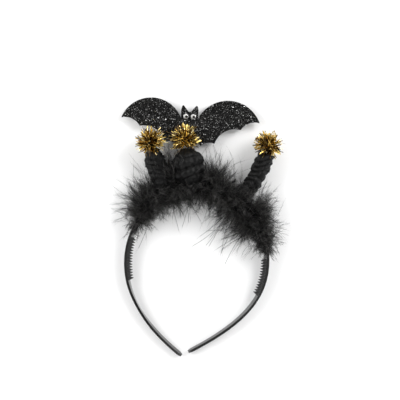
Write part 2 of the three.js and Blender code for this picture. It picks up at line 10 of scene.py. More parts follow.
import bmesh
import bpy
import numpy as np
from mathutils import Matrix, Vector


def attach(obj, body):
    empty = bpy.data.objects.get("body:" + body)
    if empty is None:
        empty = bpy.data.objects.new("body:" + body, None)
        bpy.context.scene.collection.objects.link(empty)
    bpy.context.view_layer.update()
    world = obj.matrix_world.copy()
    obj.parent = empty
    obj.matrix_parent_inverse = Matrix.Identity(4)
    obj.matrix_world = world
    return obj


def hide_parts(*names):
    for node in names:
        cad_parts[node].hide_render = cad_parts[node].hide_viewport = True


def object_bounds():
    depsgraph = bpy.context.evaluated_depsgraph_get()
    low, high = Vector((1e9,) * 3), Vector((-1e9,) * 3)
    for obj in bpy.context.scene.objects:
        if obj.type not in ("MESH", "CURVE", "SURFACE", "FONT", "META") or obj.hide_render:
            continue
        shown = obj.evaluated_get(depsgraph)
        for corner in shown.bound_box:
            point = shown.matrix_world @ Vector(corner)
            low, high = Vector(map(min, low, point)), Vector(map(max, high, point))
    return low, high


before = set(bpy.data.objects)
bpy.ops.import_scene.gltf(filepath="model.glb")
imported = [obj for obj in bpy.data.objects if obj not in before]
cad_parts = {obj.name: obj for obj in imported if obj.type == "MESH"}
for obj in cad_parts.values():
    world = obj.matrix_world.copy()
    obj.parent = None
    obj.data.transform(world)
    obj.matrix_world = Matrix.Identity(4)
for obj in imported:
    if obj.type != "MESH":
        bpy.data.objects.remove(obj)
cad_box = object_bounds()

MM = 0.001
MERGE_DISTANCE = 1e-7

# Hoop
HOOP_WIDTH = 126 * MM
CROWN_RISE = 67.7 * MM
CROWN_HEIGHT = 10 * MM
LEFT_TIP_DROP = 83.9 * MM
RIGHT_TIP_DROP = 79.9 * MM
TIP_GAP = 5.6 * MM
TIP_WIDTH = 5.2 * MM
TIP_ROUND = 5 * MM
TIP_BLUNTNESS = 0.25
# Share of each half, from the tip up, over which the strip widens
TIP_TAPER_SPAN = 0.5
ARM_START_PULL = 32 * MM
LEFT_ARM_END_HANDLE = (-39.2 * MM, 24 * MM)
RIGHT_ARM_END_HANDLE = (34.8 * MM, 24 * MM)
BAND_THICKNESS = 2.4 * MM
BAND_WIDTH = 8 * MM
BAND_STATIONS = 220
BAND_SIDES = 40
TIP_STEPS = 9
# How square the section is through its thickness and across its width: 0 is square and 1 round
BAND_ROUNDNESS = (0.3, 0.15)
# Turn of the strip in degrees from the left tip (-1) over the crown (0) to the right tip (1)
BAND_TWIST = (
    (-1.0, 16), (-0.86, 11), (-0.72, 2), (-0.58, 10), (-0.45, 12), (0.0, 0), (0.5, 14), (1.0, 13),
)

# Comb teeth: side, first and last place along the hoop
COMBS = ((-1, 0.415, 0.6), (1, 0.455, 0.607))
TOOTH_PITCH = 2.57 * MM
TOOTH_HEIGHT = 3.7 * MM
TOOTH_ROOT_RADIUS = 1.9 * MM
TOOTH_BREADTH = 0.8
TOOTH_TIP_SHARE = 0.12
TOOTH_ROW_INSET = 1.9 * MM
TOOTH_SINK_SHARE = 0.2

# Marabou trim: place along the hoop, then outward, inward and front reach in millimetres
BOA_SECTIONS = (
    (-0.385, 3, 5, 6),
    (-0.35, 8, 9, 11),
    (-0.31, 15, 12, 15),
    (-0.25, 26, 13, 17),
    (-0.19, 27, 15, 18),
    (-0.11, 27, 19, 18),
    (-0.03, 22, 20, 18),
    (0.03, 25, 20, 18),
    (0.08, 22, 23, 18),
    (0.16, 18, 28, 18),
    (0.23, 23, 29, 18),
    (0.29, 18, 24, 16),
    (0.34, 11, 16, 13),
    (0.38, 8, 9, 10),
    (0.42, 5, 4, 6),
)
# Columns of that table
OUTWARD, INWARD, FRONT = 1, 2, 3
BOA_BACK_REACH = 15 * MM
BOA_CORE_SHARE = 0.3
BOA_CORE_RINGS = 90
BOA_CORE_SIDES = 40
BOA_CORE_LOWEST = 0.3 * MM
CORE_FUZZ = {
    "Density": 0.4e6, "Fibre length": 7 * MM, "Fibre radius": 0.09 * MM, "Spread": 1.3,
    "Lowest": 0.2 * MM, "Seed": 15,
}
# Kinds of plume: the nearest and furthest tips are shares of the trim's reach, and lengths, radii, curl and
# stray are in millimetres
Plume = namedtuple(
    "Plume",
    "name count nearest furthest barbs barb_length barb_radius quill_radius curl stray spread"
    " curl_scale segments",
)
PLUMES = (
    Plume("down", 262, 0.4, 0.88, 40, 9.0, 0.1, 0.12, 6.0, 4.0, 0.95, 110.0, 2),
    Plume("fronds", 175, 0.7, 1.12, 36, 12.0, 0.06, 0.09, 8.0, 6.0, 0.6, 75.0, 3),
    Plume("hairs", 90, 1.0, 1.5, 8, 15.0, 0.055, 0.08, 8.0, 8.0, 0.35, 50.0, 4),
)
# Where they grow: first and last place along the hoop, lowest and highest turn from straight outwards in
# degrees, the share of each kind's number and how far they stretch
Spot = namedtuple("Spot", "name first last lowest highest share stretch")
PLUME_PLACES = (
    Spot("left", -0.385, 0.02, -45, 225, 0.95, 1.0),
    Spot("right", 0.02, 0.42, -45, 225, 0.95, 1.0),
    Spot("between_stalks", -0.14, -0.07, -25, 45, 0.25, 1.4),
    Spot("left_shoulder", -0.33, -0.2, -20, 50, 0.2, 1.06),
    Spot("right_of_centre", 0.0, 0.07, -20, 50, 0.12, 1.0),
    Spot("right_shoulder", 0.22, 0.4, -20, 50, 0.2, 1.12),
    Spot("right_inside", 0.1, 0.4, 150, 205, 0.22, 1.02),
    Spot("right_end", 0.36, 0.42, -30, 210, 0.08, 1.3),
)
# Longer barbs that stray into the head opening
STRAYS = Plume("strays", 14, 1.3, 2.0, 3, 14.0, 0.06, 0.16, 6.0, 8.0, 0.25, 40.0, 4)
STRAY_PLACES = (
    Spot("left_inside", -0.28, -0.06, 150, 200, 0.6, 1.0),
    Spot("right_inside", 0.1, 0.33, 150, 205, 1.0, 1.0),
)
PLUME_SEED = 20
PLUME_SEED_STEP = 10
STRAY_SEED = 50
FULL_BARB_REACH = 18
SHORTEST_BARB_SHARE = 0.45
BARB_TIP_LOSS = 0.45
BARB_LENGTH_SHARES = (0.55, 1.25)
BARB_CURL_POWER = 1.4
BARB_LOWEST = 0.2 * MM
QUILL_ROOT_SHARE = 0.25
QUILL_TIP_LOSS = 0.75
QUILL_BOW = 0.3
QUILL_STEPS = 8
QUILL_LOWEST = 0.6 * MM
FIBRE_LENGTH_SHARES = (0.4, 1.3)
FIBRE_TIP_SHARE = 0.35

# Stalks: foot along the hoop, a point on the way, the pompom's centre and the radius in millimetres, the
# share of that left at the neck, and the puffs with their depth
Stalk = namedtuple("Stalk", "side foot through pompom radius neck puffs depth")
STALKS = (
    Stalk("left", -0.168, (-46.3, 13.5, 14), (-53.2, 30.4, 19), 9, 0.65, 7, 0.16),
    Stalk("centre", -0.045, (-18, 17, 15.6), (-22.9, 36.7, 16.4), 14, 0.36, 4, 0.22),
    Stalk("right", 0.168, (42.8, 14.5, 11.5), (50.9, 41.2, 13.5), 7.6, 0.9, 8, 0.24),
)
SLEEVE_TUCK = 2 * MM
POST_SHARE = 0.5
SLEEVE_LOWEST = 1.5 * MM
STALK_FOOT_SHARE = 0.72
STALK_FOOT_TO = 0.4
STALK_NECK_FROM = 0.75
STALK_SPAN_STEPS = 200
STALK_SAMPLES = 24
STALK_HEADING_STEPS = 60
POST_RINGS = 24
POST_SIDES = 16
SLEEVE_RINGS = 120
SLEEVE_SIDES = 80
SLEEVE_SEED = 40
# Share of a sleeve's radius that plumes stay out of
SLEEVE_FIRM_SHARE = 0.72
PUFF_SIZES = (0.6, 1.3)
PUFF_FULLNESS = 0.7
SPARE_PUFFS = 4
# Folds of a sleeve: depth as a share of its radius, or of a puff's length for the wander, fewest and most
# waves round it, waves along it and how many waves make up a fold
Fold = namedtuple("Fold", "depth turns runs count")
WANDER = Fold(0.4, (1, 3), 1.5, 5)
PLEATS = Fold(0.045, (6, 13), 0.8, 6)
GATHERS = Fold(0.02, (14, 30), 1.5, 10)
CREASES = Fold(0.025, (2, 9), 3, 12)
# Gathers deepen by this much towards the neck, between these places, and ease off where a puff is full
GATHERS_AT_NECK = 2.5
GATHERS_SPAN = (0.3, 0.95)
GATHERS_EASE = 0.4
SLEEVE_FUZZ = {
    "Density": 0.5e6, "Fibre length": 1.2 * MM, "Fibre radius": 0.025 * MM, "Spread": 0.9,
    "Lowest": 0.2 * MM,
}
SLEEVE_FUZZ_SEED = 60

# Pompoms
POMPOM_RADIUS = 13.2 * MM
POMPOM_STRIPS = 500
POMPOM_LOOSENESS = 1.5 * MM
POMPOM_SEED = 80
STRIP_STRAY = 0.08
STRIP_LENGTH_SHARES = (0.7, 0.98)
STRIP_TIP_SHARE = 0.75
STRIP_BEND_POWER = 1.5
STRIP_SIZES = {"Width": 0.6 * MM, "Thickness": 0.08 * MM, "Bend": 4.5 * MM, "Bend scale": 130.0}
STRIP_SEED = 90
# No strip stands nearer to the stalk than this cosine
STALK_SIDE_COSINE = 0.86
# How far the tips of each pompom's strips are brushed aside, in millimetres, and the highest tone of its
# foil, the top of its painted glints
POMPOM_LOOKS = {
    "left": ((0.4, 1.0, 0), 1.0),
    "centre": ((-1.8, 1.2, 0), 0.86),
    "right": ((-2.5, 0.6, 0), 1.0),
}
KNOT_RADIUS = 9 * MM

# Gap between pieces that touch, and how far soft strands may stand past the solids
PIECE_GAP = 0.3 * MM
SOFT_MARGIN = 10 * MM

# Bat in its own plane: origin midway between the wing tips, +x along the wings, +y to the ears
BAT_PLACE = (-21.2 * MM, 55.5 * MM)
BAT_TURN = math.radians(4.8)
BAT_BACK = 4.6 * MM
BAT_THICKNESS = 2.5 * MM
BAT_FRONT = BAT_BACK + BAT_THICKNESS
# Its edge, in millimetres
WING_TIP = (60.9, 0)
WING_ROOT = (7.5, 1.7)
WING_ARCH = 17.6
WING_POINT_OUTER = (44.6, -6.8)
WING_POINT_INNER = (22, -19.9)
BODY_SIDE = (9.9, -22.2)
SCALLOPS = (2.9, 5.2, 1.9)
BODY_NOTCH = 4
BODY_NOTCH_CORNER = 0.7
HEAD_ASIDE = -0.9
EAR_TIP = (5.9, 12.9)
EAR_TIP_ROUND = 1
EAR_NOTCH = (0.9, 7.2)
CHEEK = (7.6, 9)
# The foam's cut edge: inset and height over its back, in millimetres
FOAM_EDGE = ((0.12, 0.0), (0.03, 0.08), (0.0, 0.25), (0.0, 2.25), (0.03, 2.42), (0.12, 2.5))
FOAM_EDGE_ROUGHNESS = 0.06
FOAM_EDGE_SEED = 12
# Faces whose normal rises this much are the glittered front
FRONT_RISE = 0.5
GLITTER = {
    "Density": 1.6e6, "Smallest": 0.14 * MM, "Largest": 0.42 * MM, "Thickness": 0.03 * MM,
    "Tip": 0.3, "Seed": 7,
}

# Eyes
EYE_OFFSET = (3.2 * MM, 3.1 * MM)
EYE_RADIUS = 2.3 * MM
EYE_BACK_THICKNESS = 0.7 * MM
EYE_BACK_EDGE = 0.15 * MM
EYE_DOME_HEIGHT = 1.7 * MM
EYE_DOME_WALL = 0.4 * MM
PUPIL_RADIUS = 1.15 * MM
PUPIL_THICKNESS = 0.35 * MM
PUPIL_EDGE = 0.08 * MM
PUPIL_SHIFT = (0.45 * MM, -0.45 * MM)
# Turned pieces start this share of their radius, or this turn, off their axis
HUB_SHARE = 0.02
HUB_TURN = 0.015

# View
CAMERA_AIM = (-3.96 * MM, -13.2 * MM)
CAMERA_TURN = math.radians(7.3)
CAMERA_HEIGHT = 0.8
VIEW_WIDTH = 351.6 * MM
VIEW_PLANE = 8 * MM

FLOOR_WIDTH = 12.0
# Studio dome: height and tone low round the sides, half way up and overhead
SKY_TONES = ((0.35, 1.0), (0.75, 0.4), (1.0, 0.1))
SKY_STRENGTH = 1.85
# Softboxes: name, place, width and power
SOFTBOXES = (("softbox_right", (0.6, 0.5, 0.6), 0.5, 5), ("softbox_left", (-0.7, 0.1, 0.5), 0.4, 3))


# Nodes


def wire(tree, kind, feeds=None, **settings):
    """Adds a node, sets its properties and feeds its sockets with values or other nodes' outputs."""
    node = tree.nodes.new(kind)
    for key, value in settings.items():
        setattr(node, key, value)
    for key, value in (feeds or {}).items():
        if isinstance(key, int):
            socket = node.inputs[key]
        else:
            socket = next(s for s in node.inputs if s.name == key and s.enabled)
        if isinstance(value, bpy.types.NodeSocket):
            tree.links.new(value, socket)
        else:
            socket.default_value = value
    return node


def out(node, name=None):
    """A node's output of that name, or its first one in use."""
    return next(s for s in node.outputs if s.enabled and name in (None, s.name))


def growth_tree(name, sizes, counts=("Seed",)):
    """A tree with one geometry in and out and its sizes and counts as named inputs; returns it and them."""
    tree = bpy.data.node_groups.new(name, "GeometryNodeTree")
    tree.interface.new_socket("Geometry", in_out="INPUT", socket_type="NodeSocketGeometry")
    tree.interface.new_socket("Geometry", in_out="OUTPUT", socket_type="NodeSocketGeometry")
    for labels, kind in ((sizes, "NodeSocketFloat"), (counts, "NodeSocketInt")):
        for label in labels:
            tree.interface.new_socket(label, in_out="INPUT", socket_type=kind)
    entry = tree.nodes.new("NodeGroupInput")
    return tree, {socket.name: socket for socket in entry.outputs if socket.name}


def realized(tree, geometry):
    return out(wire(tree, "GeometryNodeRealizeInstances", {"Geometry": geometry}))


def end_tree(tree, geometry, finish):
    """Closes a tree: instances made real, and its finish set."""
    feeds = {"Geometry": realized(tree, geometry), "Material": finish}
    painted = wire(tree, "GeometryNodeSetMaterial", feeds)
    leave = tree.nodes.new("NodeGroupOutput")
    tree.links.new(out(painted), leave.inputs[0])


def maths(tree, operation, first, second=0.0):
    return out(wire(tree, "ShaderNodeMath", {0: first, 1: second}, operation=operation))


def vector_maths(tree, operation, first, second):
    return out(wire(tree, "ShaderNodeVectorMath", {0: first, 1: second}, operation=operation))


def scaled(tree, vector, factor):
    return out(wire(tree, "ShaderNodeVectorMath", {0: vector, "Scale": factor}, operation="SCALE"))


def attribute(tree, name, data_type="FLOAT"):
    node = wire(tree, "GeometryNodeInputNamedAttribute", {"Name": name}, data_type=data_type)
    return out(node, "Attribute")


def random_number(tree, low, high, seed):
    node = wire(tree, "FunctionNodeRandomValue", {"Min": low, "Max": high, "Seed": seed}, data_type="FLOAT")
    return out(node)


def random_direction(tree, seed):
    limits = {"Min": (-1, -1, -1), "Max": (1, 1, 1), "Seed": seed}
    return out(wire(tree, "FunctionNodeRandomValue", limits, data_type="FLOAT_VECTOR"))


def pointed(tree, direction):
    """The turn that lays a shape's length along a direction."""
    return out(wire(tree, "FunctionNodeAlignRotationToVector", {"Vector": direction}, axis="Z"))


def sized(tree, width, depth, length):
    return out(wire(tree, "ShaderNodeCombineXYZ", {"X": width, "Y": depth, "Z": length}))


def instanced(tree, points, shape, turn, size):
    """A shape on every point, turned and sized."""
    feeds = {"Points": points, "Instance": shape, "Rotation": turn, "Scale": size}
    return out(wire(tree, "GeometryNodeInstanceOnPoints", feeds))


def keep_inside(tree, geometry, lowest):
    """Keeps strips above a height and within a margin round the solids."""
    left, front, _ = np.array(cad_box[0]) - SOFT_MARGIN
    far_corner = tuple(np.array(cad_box[1]) + SOFT_MARGIN)
    spot = out(wire(tree, "GeometryNodeInputPosition"))
    raised = vector_maths(tree, "MAXIMUM", spot, sized(tree, left, front, lowest))
    kept = vector_maths(tree, "MINIMUM", raised, far_corner)
    return out(wire(tree, "GeometryNodeSetPosition", {"Geometry": geometry, "Position": kept}))


def toned_with_painted_light(tree, points, seed):
    """Points with a random tone from 0 to 1 stored on each, which the finishes paint partly as glints and
    sheen.
    """
    stored = {"Geometry": points, "Name": "tone", "Value": random_number(tree, 0.0, 1.0, seed)}
    return out(wire(tree, "GeometryNodeStoreNamedAttribute", stored, data_type="FLOAT", domain="POINT"))


def strewn(tree, given, tilt):
    """Toned points strewn over a surface, and the turn that leans each one off its normal."""
    feeds = {"Mesh": given["Geometry"], "Density": given["Density"], "Seed": given["Seed"]}
    spots = wire(tree, "GeometryNodeDistributePointsOnFaces", feeds, distribute_method="RANDOM")
    stray = scaled(tree, random_direction(tree, given["Seed"]), tilt)
    turn = pointed(tree, vector_maths(tree, "ADD", out(spots, "Normal"), stray))
    return toned_with_painted_light(tree, out(spots, "Points"), given["Seed"]), turn


def tapered_strip(tree, sides, segments, tip_share):
    """A closed strip one unit long and one unit in radius, with its share of length stored on it."""
    sizes = {
        "Vertices": sides, "Side Segments": segments,
        "Radius Top": tip_share, "Radius Bottom": 1.0, "Depth": 1.0,
    }
    strip = wire(tree, "GeometryNodeMeshCone", sizes, fill_type="NGON")
    spot = out(wire(tree, "GeometryNodeInputPosition"))
    height = out(wire(tree, "ShaderNodeSeparateXYZ", {0: spot}), "Z")
    stored = {"Geometry": out(strip, "Mesh"), "Name": "tipward", "Value": height}
    return out(wire(tree, "GeometryNodeStoreNamedAttribute", stored, data_type="FLOAT", domain="POINT"))


def bend_by_noise(tree, geometry, amount, scale, power):
    """Bends strips sideways by smooth noise, more towards their tips."""
    noise = wire(tree, "ShaderNodeTexNoise", {"Scale": scale, "Detail": 2.0})
    drift = vector_maths(tree, "SUBTRACT", out(noise, "Color"), (0.5, 0.5, 0.5))
    weight = maths(tree, "POWER", attribute(tree, "tipward"), power)
    offset = scaled(tree, drift, maths(tree, "MULTIPLY", weight, amount))
    return out(wire(tree, "GeometryNodeSetPosition", {"Geometry": geometry, "Offset": offset}))


def barb_tree(finish, segments):
    """Fine barbs all round every quill of a set of plumes, with the quills themselves."""
    sizes = ("Barb radius", "Quill radius", "Spread", "Curl", "Curl scale", "Lowest")
    tree, given = growth_tree("plume_barbs", sizes, ("Barbs per plume", "Seed"))
    quills = out(wire(tree, "GeometryNodeMeshToCurve", {"Mesh": given["Geometry"]}))
    spaced = {"Curve": quills, "Count": given["Barbs per plume"]}
    feet = wire(tree, "GeometryNodeCurveToPoints", spaced, mode="COUNT")
    stray = scaled(tree, random_direction(tree, given["Seed"]), given["Spread"])
    turn = pointed(tree, vector_maths(tree, "ADD", out(feet, "Tangent"), stray))
    share = random_number(tree, *BARB_LENGTH_SHARES, given["Seed"])
    length = maths(tree, "MULTIPLY", attribute(tree, "barb_length"), share)
    size = sized(tree, given["Barb radius"], given["Barb radius"], length)
    barb = tapered_strip(tree, sides=3, segments=segments, tip_share=0.0)
    points = toned_with_painted_light(tree, out(feet, "Points"), given["Seed"])
    barbs = realized(tree, instanced(tree, points, barb, turn, size))
    barbs = bend_by_noise(tree, barbs, given["Curl"], given["Curl scale"], BARB_CURL_POWER)
    loss = maths(tree, "MULTIPLY", attribute(tree, "quill_share"), QUILL_TIP_LOSS)
    thin = maths(tree, "SUBTRACT", 1.0, loss)
    tapered = out(wire(tree, "GeometryNodeSetCurveRadius", {"Curve": quills, "Radius": thin}))
    circle = {"Resolution": 3, "Radius": given["Quill radius"]}
    section = out(wire(tree, "GeometryNodeCurvePrimitiveCircle", circle))
    feeds = {"Curve": tapered, "Profile Curve": section, "Fill Caps": True}
    shafts = out(wire(tree, "GeometryNodeCurveToMesh", feeds))
    both = wire(tree, "GeometryNodeJoinGeometry")
    tree.links.new(barbs, both.inputs[0])
    tree.links.new(shafts, both.inputs[0])
    end_tree(tree, keep_inside(tree, out(both), given["Lowest"]), finish)
    return tree


def tinsel_tree(finish):
    """Folded foil strips standing out from a pompom's knot."""
    tree, given = growth_tree("tinsel_strips", ("Width", "Thickness", "Bend", "Bend scale", "Lowest"))
    aligned = pointed(tree, attribute(tree, "outward", "FLOAT_VECTOR"))
    about = {"Axis": (0, 0, 1), "Angle": random_number(tree, 0.0, math.pi, given["Seed"])}
    spin = out(wire(tree, "FunctionNodeAxisAngleToRotation", about))
    turns = {"Rotation": aligned, "Rotate By": spin}
    turn = out(wire(tree, "FunctionNodeRotateRotation", turns, rotation_space="LOCAL"))
    size = sized(tree, given["Width"], given["Thickness"], attribute(tree, "strip_length"))
    strip = tapered_strip(tree, sides=4, segments=3, tip_share=STRIP_TIP_SHARE)
    strips = realized(tree, instanced(tree, given["Geometry"], strip, turn, size))
    strips = bend_by_noise(tree, strips, given["Bend"], given["Bend scale"], STRIP_BEND_POWER)
    end_tree(tree, keep_inside(tree, strips, given["Lowest"]), finish)
    return tree


def glitter_tree(finish):
    """Five-sided flakes strewn over a face, each tipped a little its own way."""
    tree, given = growth_tree("glitter_flakes", ("Density", "Smallest", "Largest", "Thickness", "Tip"))
    points, turn = strewn(tree, given, given["Tip"])
    radius = random_number(tree, given["Smallest"], given["Largest"], given["Seed"])
    size = sized(tree, radius, radius, given["Thickness"])
    cut = {"Vertices": 5, "Radius": 1.0, "Depth": 1.0}
    flake = out(wire(tree, "GeometryNodeMeshCylinder", cut, fill_type="NGON"), "Mesh")
    end_tree(tree, instanced(tree, points, flake, turn, size), finish)
    return tree


def fuzz_tree(finish):
    """Short loose fibres standing off a surface."""
    sizes = ("Density", "Fibre length", "Fibre radius", "Spread", "Lowest")
    tree, given = growth_tree("loose_fibres", sizes)
    points, turn = strewn(tree, given, given["Spread"])
    share = random_number(tree, *FIBRE_LENGTH_SHARES, given["Seed"])
    length = maths(tree, "MULTIPLY", given["Fibre length"], share)
    size = sized(tree, given["Fibre radius"], given["Fibre radius"], length)
    fibre = tapered_strip(tree, sides=3, segments=1, tip_share=FIBRE_TIP_SHARE)
    fibres = realized(tree, instanced(tree, points, fibre, turn, size))
    end_tree(tree, keep_inside(tree, fibres, given["Lowest"]), finish)
    return tree


def teeth_tree(finish):
    """Wedge-shaped comb teeth standing on given feet, turned square to the strip."""
    tree, given = growth_tree("comb_teeth", ("Root radius", "Breadth", "Height"), ())
    upright = pointed(tree, attribute(tree, "outward", "FLOAT_VECTOR"))
    square = {"Rotation": upright, "Vector": attribute(tree, "across", "FLOAT_VECTOR")}
    turn = out(wire(tree, "FunctionNodeAlignRotationToVector", square, axis="Y", pivot_axis="Z"))
    breadth = maths(tree, "MULTIPLY", given["Root radius"], given["Breadth"])
    size = sized(tree, given["Root radius"], breadth, given["Height"])
    tooth = tapered_strip(tree, sides=10, segments=3, tip_share=TOOTH_TIP_SHARE)
    end_tree(tree, instanced(tree, given["Geometry"], tooth, turn, size), finish)
    return tree


# Meshes


def shown(name, mesh):
    piece = bpy.data.objects.new(name, mesh)
    bpy.context.scene.collection.objects.link(piece)
    return piece


def plain_mesh(name, points, edges=(), faces=()):
    mesh = bpy.data.meshes.new(name)
    mesh.from_pydata([tuple(p) for p in points], list(edges), list(faces))
    return mesh


def give_attribute(mesh, name, values, kind="FLOAT"):
    layer = mesh.attributes.new(name, kind, "POINT")
    field = "vector" if kind == "FLOAT_VECTOR" else "value"
    layer.data.foreach_set(field, np.ravel(values).astype(np.float32))


def turned_out(mesh):
    """Merges doubles and turns every face outwards."""
    edit = bmesh.new()
    edit.from_mesh(mesh)
    bmesh.ops.remove_doubles(edit, verts=edit.verts, dist=MERGE_DISTANCE)
    bmesh.ops.recalc_face_normals(edit, faces=edit.faces)
    edit.to_mesh(mesh)
    edit.free()
    return mesh


def lofted(name, rings, finish):
    """A closed piece through rings of points, each end drawn together."""
    count, sides = rings.shape[:2]
    points = np.concatenate([rings.reshape(-1, 3), rings[:1].mean(axis=1), rings[-1:].mean(axis=1)])
    faces = []
    for r in range(count - 1):
        for k in range(sides):
            after = (k + 1) % sides
            faces.append((r * sides + k, r * sides + after, (r + 1) * sides + after, (r + 1) * sides + k))
    first, last = count * sides, count * sides + 1
    for k in range(sides):
        after = (k + 1) % sides
        faces.append((first, after, k))
        faces.append((last, (count - 1) * sides + k, (count - 1) * sides + after))
    mesh = turned_out(plain_mesh(name, points, faces=faces))
    mesh.polygons.foreach_set("use_smooth", [True] * len(mesh.polygons))
    mesh.materials.append(finish)
    return shown(name, mesh)


def grown(name, source, tree, sizes, smooth=True):
    """What a tree makes of a source mesh, as a plain piece at the origin."""
    seed_object = shown(name + "_source", source)
    modifier = seed_object.modifiers.new(tree.name, "NODES")
    modifier.node_group = tree
    for item in tree.interface.items_tree:
        if item.in_out == "INPUT" and item.name in sizes:
            modifier[item.identifier] = sizes[item.name]
    depsgraph = bpy.context.evaluated_depsgraph_get()
    mesh = bpy.data.meshes.new_from_object(seed_object.evaluated_get(depsgraph), depsgraph=depsgraph)
    bpy.data.objects.remove(seed_object)
    mesh.name = name
    mesh.polygons.foreach_set("use_smooth", [smooth] * len(mesh.polygons))
    return shown(name, mesh)


def place(piece, slot, *nodes):
    """Rides a piece on the headband's one body and hides the solids it stands for; its slot is not used."""
    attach(piece, "root")
    if nodes:
        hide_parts(*nodes)
    return piece


def smoothstep(value, low, high):
    share = np.clip((value - low) / (high - low), 0, 1)
    return share * share * (3 - 2 * share)


def eased(rows, along, column=1):
    """A column of a table at places along the hoop, eased from row to row."""
    table = np.array(rows, dtype=float)
    places = np.clip(along, table[0, 0], table[-1, 0])
    after = np.clip(np.searchsorted(table[:, 0], places), 1, len(table) - 1)
    share = smoothstep(places, table[after - 1, 0], table[after, 0])
    return table[after - 1, column] + (table[after, column] - table[after - 1, column]) * share


def unit(vectors):
    return vectors / np.linalg.norm(vectors, axis=-1, keepdims=True)


def full_turn(count):
    return np.linspace(0, 2 * math.pi, count, endpoint=False)


# Hoop line


def arm_line(side, drop, handle, count=300):
    """Points of an arm from the widest line down to its tip."""
    half_width = (HOOP_WIDTH - BAND_THICKNESS) / 2
    tip = np.array((side * TIP_GAP / 2, -CROWN_RISE - drop))
    start = np.array((side * half_width, -CROWN_RISE))
    corners = (start, start - (0, ARM_START_PULL), tip + handle, tip)
    t = np.linspace(0, 1, count)[:, None]
    weights = ((1 - t) ** 3, 3 * t * (1 - t) ** 2, 3 * t * t * (1 - t), t**3)
    return sum(weight * corner for weight, corner in zip(weights, corners))


def hoop_line(count=600):
    half_width = (HOOP_WIDTH - BAND_THICKNESS) / 2
    half_rise = CROWN_RISE - BAND_THICKNESS / 2
    turn = np.linspace(math.pi, 0, count)
    crown = np.stack([half_width * np.cos(turn), -CROWN_RISE + half_rise * np.sin(turn)], axis=1)
    left = arm_line(-1, LEFT_TIP_DROP, LEFT_ARM_END_HANDLE)[::-1]
    right = arm_line(1, RIGHT_TIP_DROP, RIGHT_ARM_END_HANDLE)
    return np.concatenate([left, crown[1:-1], right])


HOOP_LINE = hoop_line()
HOOP_STEPS = np.concatenate([[0], np.cumsum(np.linalg.norm(np.diff(HOOP_LINE, axis=0), axis=1))])
HALF_LENGTH = HOOP_STEPS[-1] / 2


def hoop_frame(along):
    """Centre, heading and inward direction of the hoop at places along it."""
    along = np.atleast_1d(np.asarray(along, dtype=float))
    run = (along + 1) * HALF_LENGTH

    def flat(step):
        return np.stack([np.interp(run + step, HOOP_STEPS, HOOP_LINE[:, k]) for k in (0, 1)], axis=1)

    middle = flat(0)
    heading = unit(flat(MM) - flat(-MM))
    lowest_tip = -CROWN_RISE - max(LEFT_TIP_DROP, RIGHT_TIP_DROP)
    rise = (middle[:, 1] - lowest_tip) / -lowest_tip
    height = TIP_WIDTH / 2 + (CROWN_HEIGHT - TIP_WIDTH / 2) * rise
    nothing = np.zeros(len(along))
    centre = np.column_stack([middle, height])
    inward = np.column_stack([heading[:, 1], -heading[:, 0], nothing])
    return centre, np.column_stack([heading, nothing]), inward


def band_axes(along):
    """Centre of the band with the directions through its thickness (inwards) and across its width."""
    centre, _, inward = hoop_frame(along)
    twist = np.radians(eased(BAND_TWIST, np.atleast_1d(along)))[:, None]
    up = np.array((0, 0, 1.0))
    return centre, inward * np.cos(twist) + up * np.sin(twist), up * np.cos(twist) - inward * np.sin(twist)


def band_width(along):
    from_tip = (1 - np.abs(along)) * HALF_LENGTH
    full = TIP_WIDTH + (BAND_WIDTH - TIP_WIDTH) * np.minimum(1, (1 - np.abs(along)) / TIP_TAPER_SPAN)
    inside = np.minimum(1, from_tip / TIP_ROUND)
    return full * np.maximum(TIP_BLUNTNESS, np.sqrt(1 - (1 - inside) ** 2))


# Finishes


def new_finish(name, **constants):
    """A material with constants set on its shader's own sockets; returns it, its tree and shader."""
    finish = bpy.data.materials.new(name)
    finish.use_nodes = True
    tree = finish.node_tree
    shader = next(node for node in tree.nodes if node.type == "BSDF_PRINCIPLED")
    for key, value in constants.items():
        shader.inputs[key.replace("_", " ")].default_value = value
    return finish, tree, shader


def object_noise(tree, scale, detail=3.0):
    coordinates = out(wire(tree, "ShaderNodeTexCoord"), "Object")
    return out(wire(tree, "ShaderNodeTexNoise", {"Vector": coordinates, "Scale": scale, "Detail": detail}))


def ranged(tree, value, low, high):
    return out(wire(tree, "ShaderNodeMapRange", {"Value": value, "To Min": low, "To Max": high}))


def shaded(tree, value, *stops):
    """A colour ramp over (place, colour) stops."""
    ramp = wire(tree, "ShaderNodeValToRGB", {0: value})
    elements = ramp.color_ramp.elements
    while len(elements) < len(stops):
        elements.new(1.0)
    for element, (position, colour) in zip(elements, stops):
        element.position = position
        element.color = (*colour, 1)
    return out(ramp)


def bumped(tree, shader, height, strength, distance):
    bump = wire(tree, "ShaderNodeBump", {"Height": height, "Strength": strength, "Distance": distance})
    tree.links.new(out(bump), shader.inputs["Normal"])


def grey(tone):
    return (tone, tone, tone)


def mottled(tree, shader, scale, dark, light, lower=0.3, upper=0.7):
    """Base colour that drifts from dark to light over soft noise."""
    cloud = shaded(tree, object_noise(tree, scale), (lower, dark), (upper, light))
    tree.links.new(cloud, shader.inputs["Base Color"])


def roughened(tree, shader, scale, low, high):
    """Roughness that drifts between two values over soft noise."""
    tree.links.new(ranged(tree, object_noise(tree, scale), low, high), shader.inputs["Roughness"])


def tone_with_painted_light(tree):
    """The tone stored on each strand or flake, which the finishes paint into colour: painted sheen on the
    lightest barbs, painted sparkle on the brightest flakes, painted glints and shade on the tinsel.
    """
    return out(wire(tree, "ShaderNodeAttribute", attribute_name="tone"), "Fac")


def black_plastic():
    finish, tree, shader = new_finish(
        "black_plastic", Specular_IOR_Level=0.3, Coat_Weight=1.0, Coat_Roughness=0.04, Coat_IOR=1.38
    )
    mottled(tree, shader, 90, (0.002, 0.002, 0.0021), (0.005, 0.005, 0.0052), upper=0.75)
    roughened(tree, shader, 420, 0.06, 0.18)
    return finish


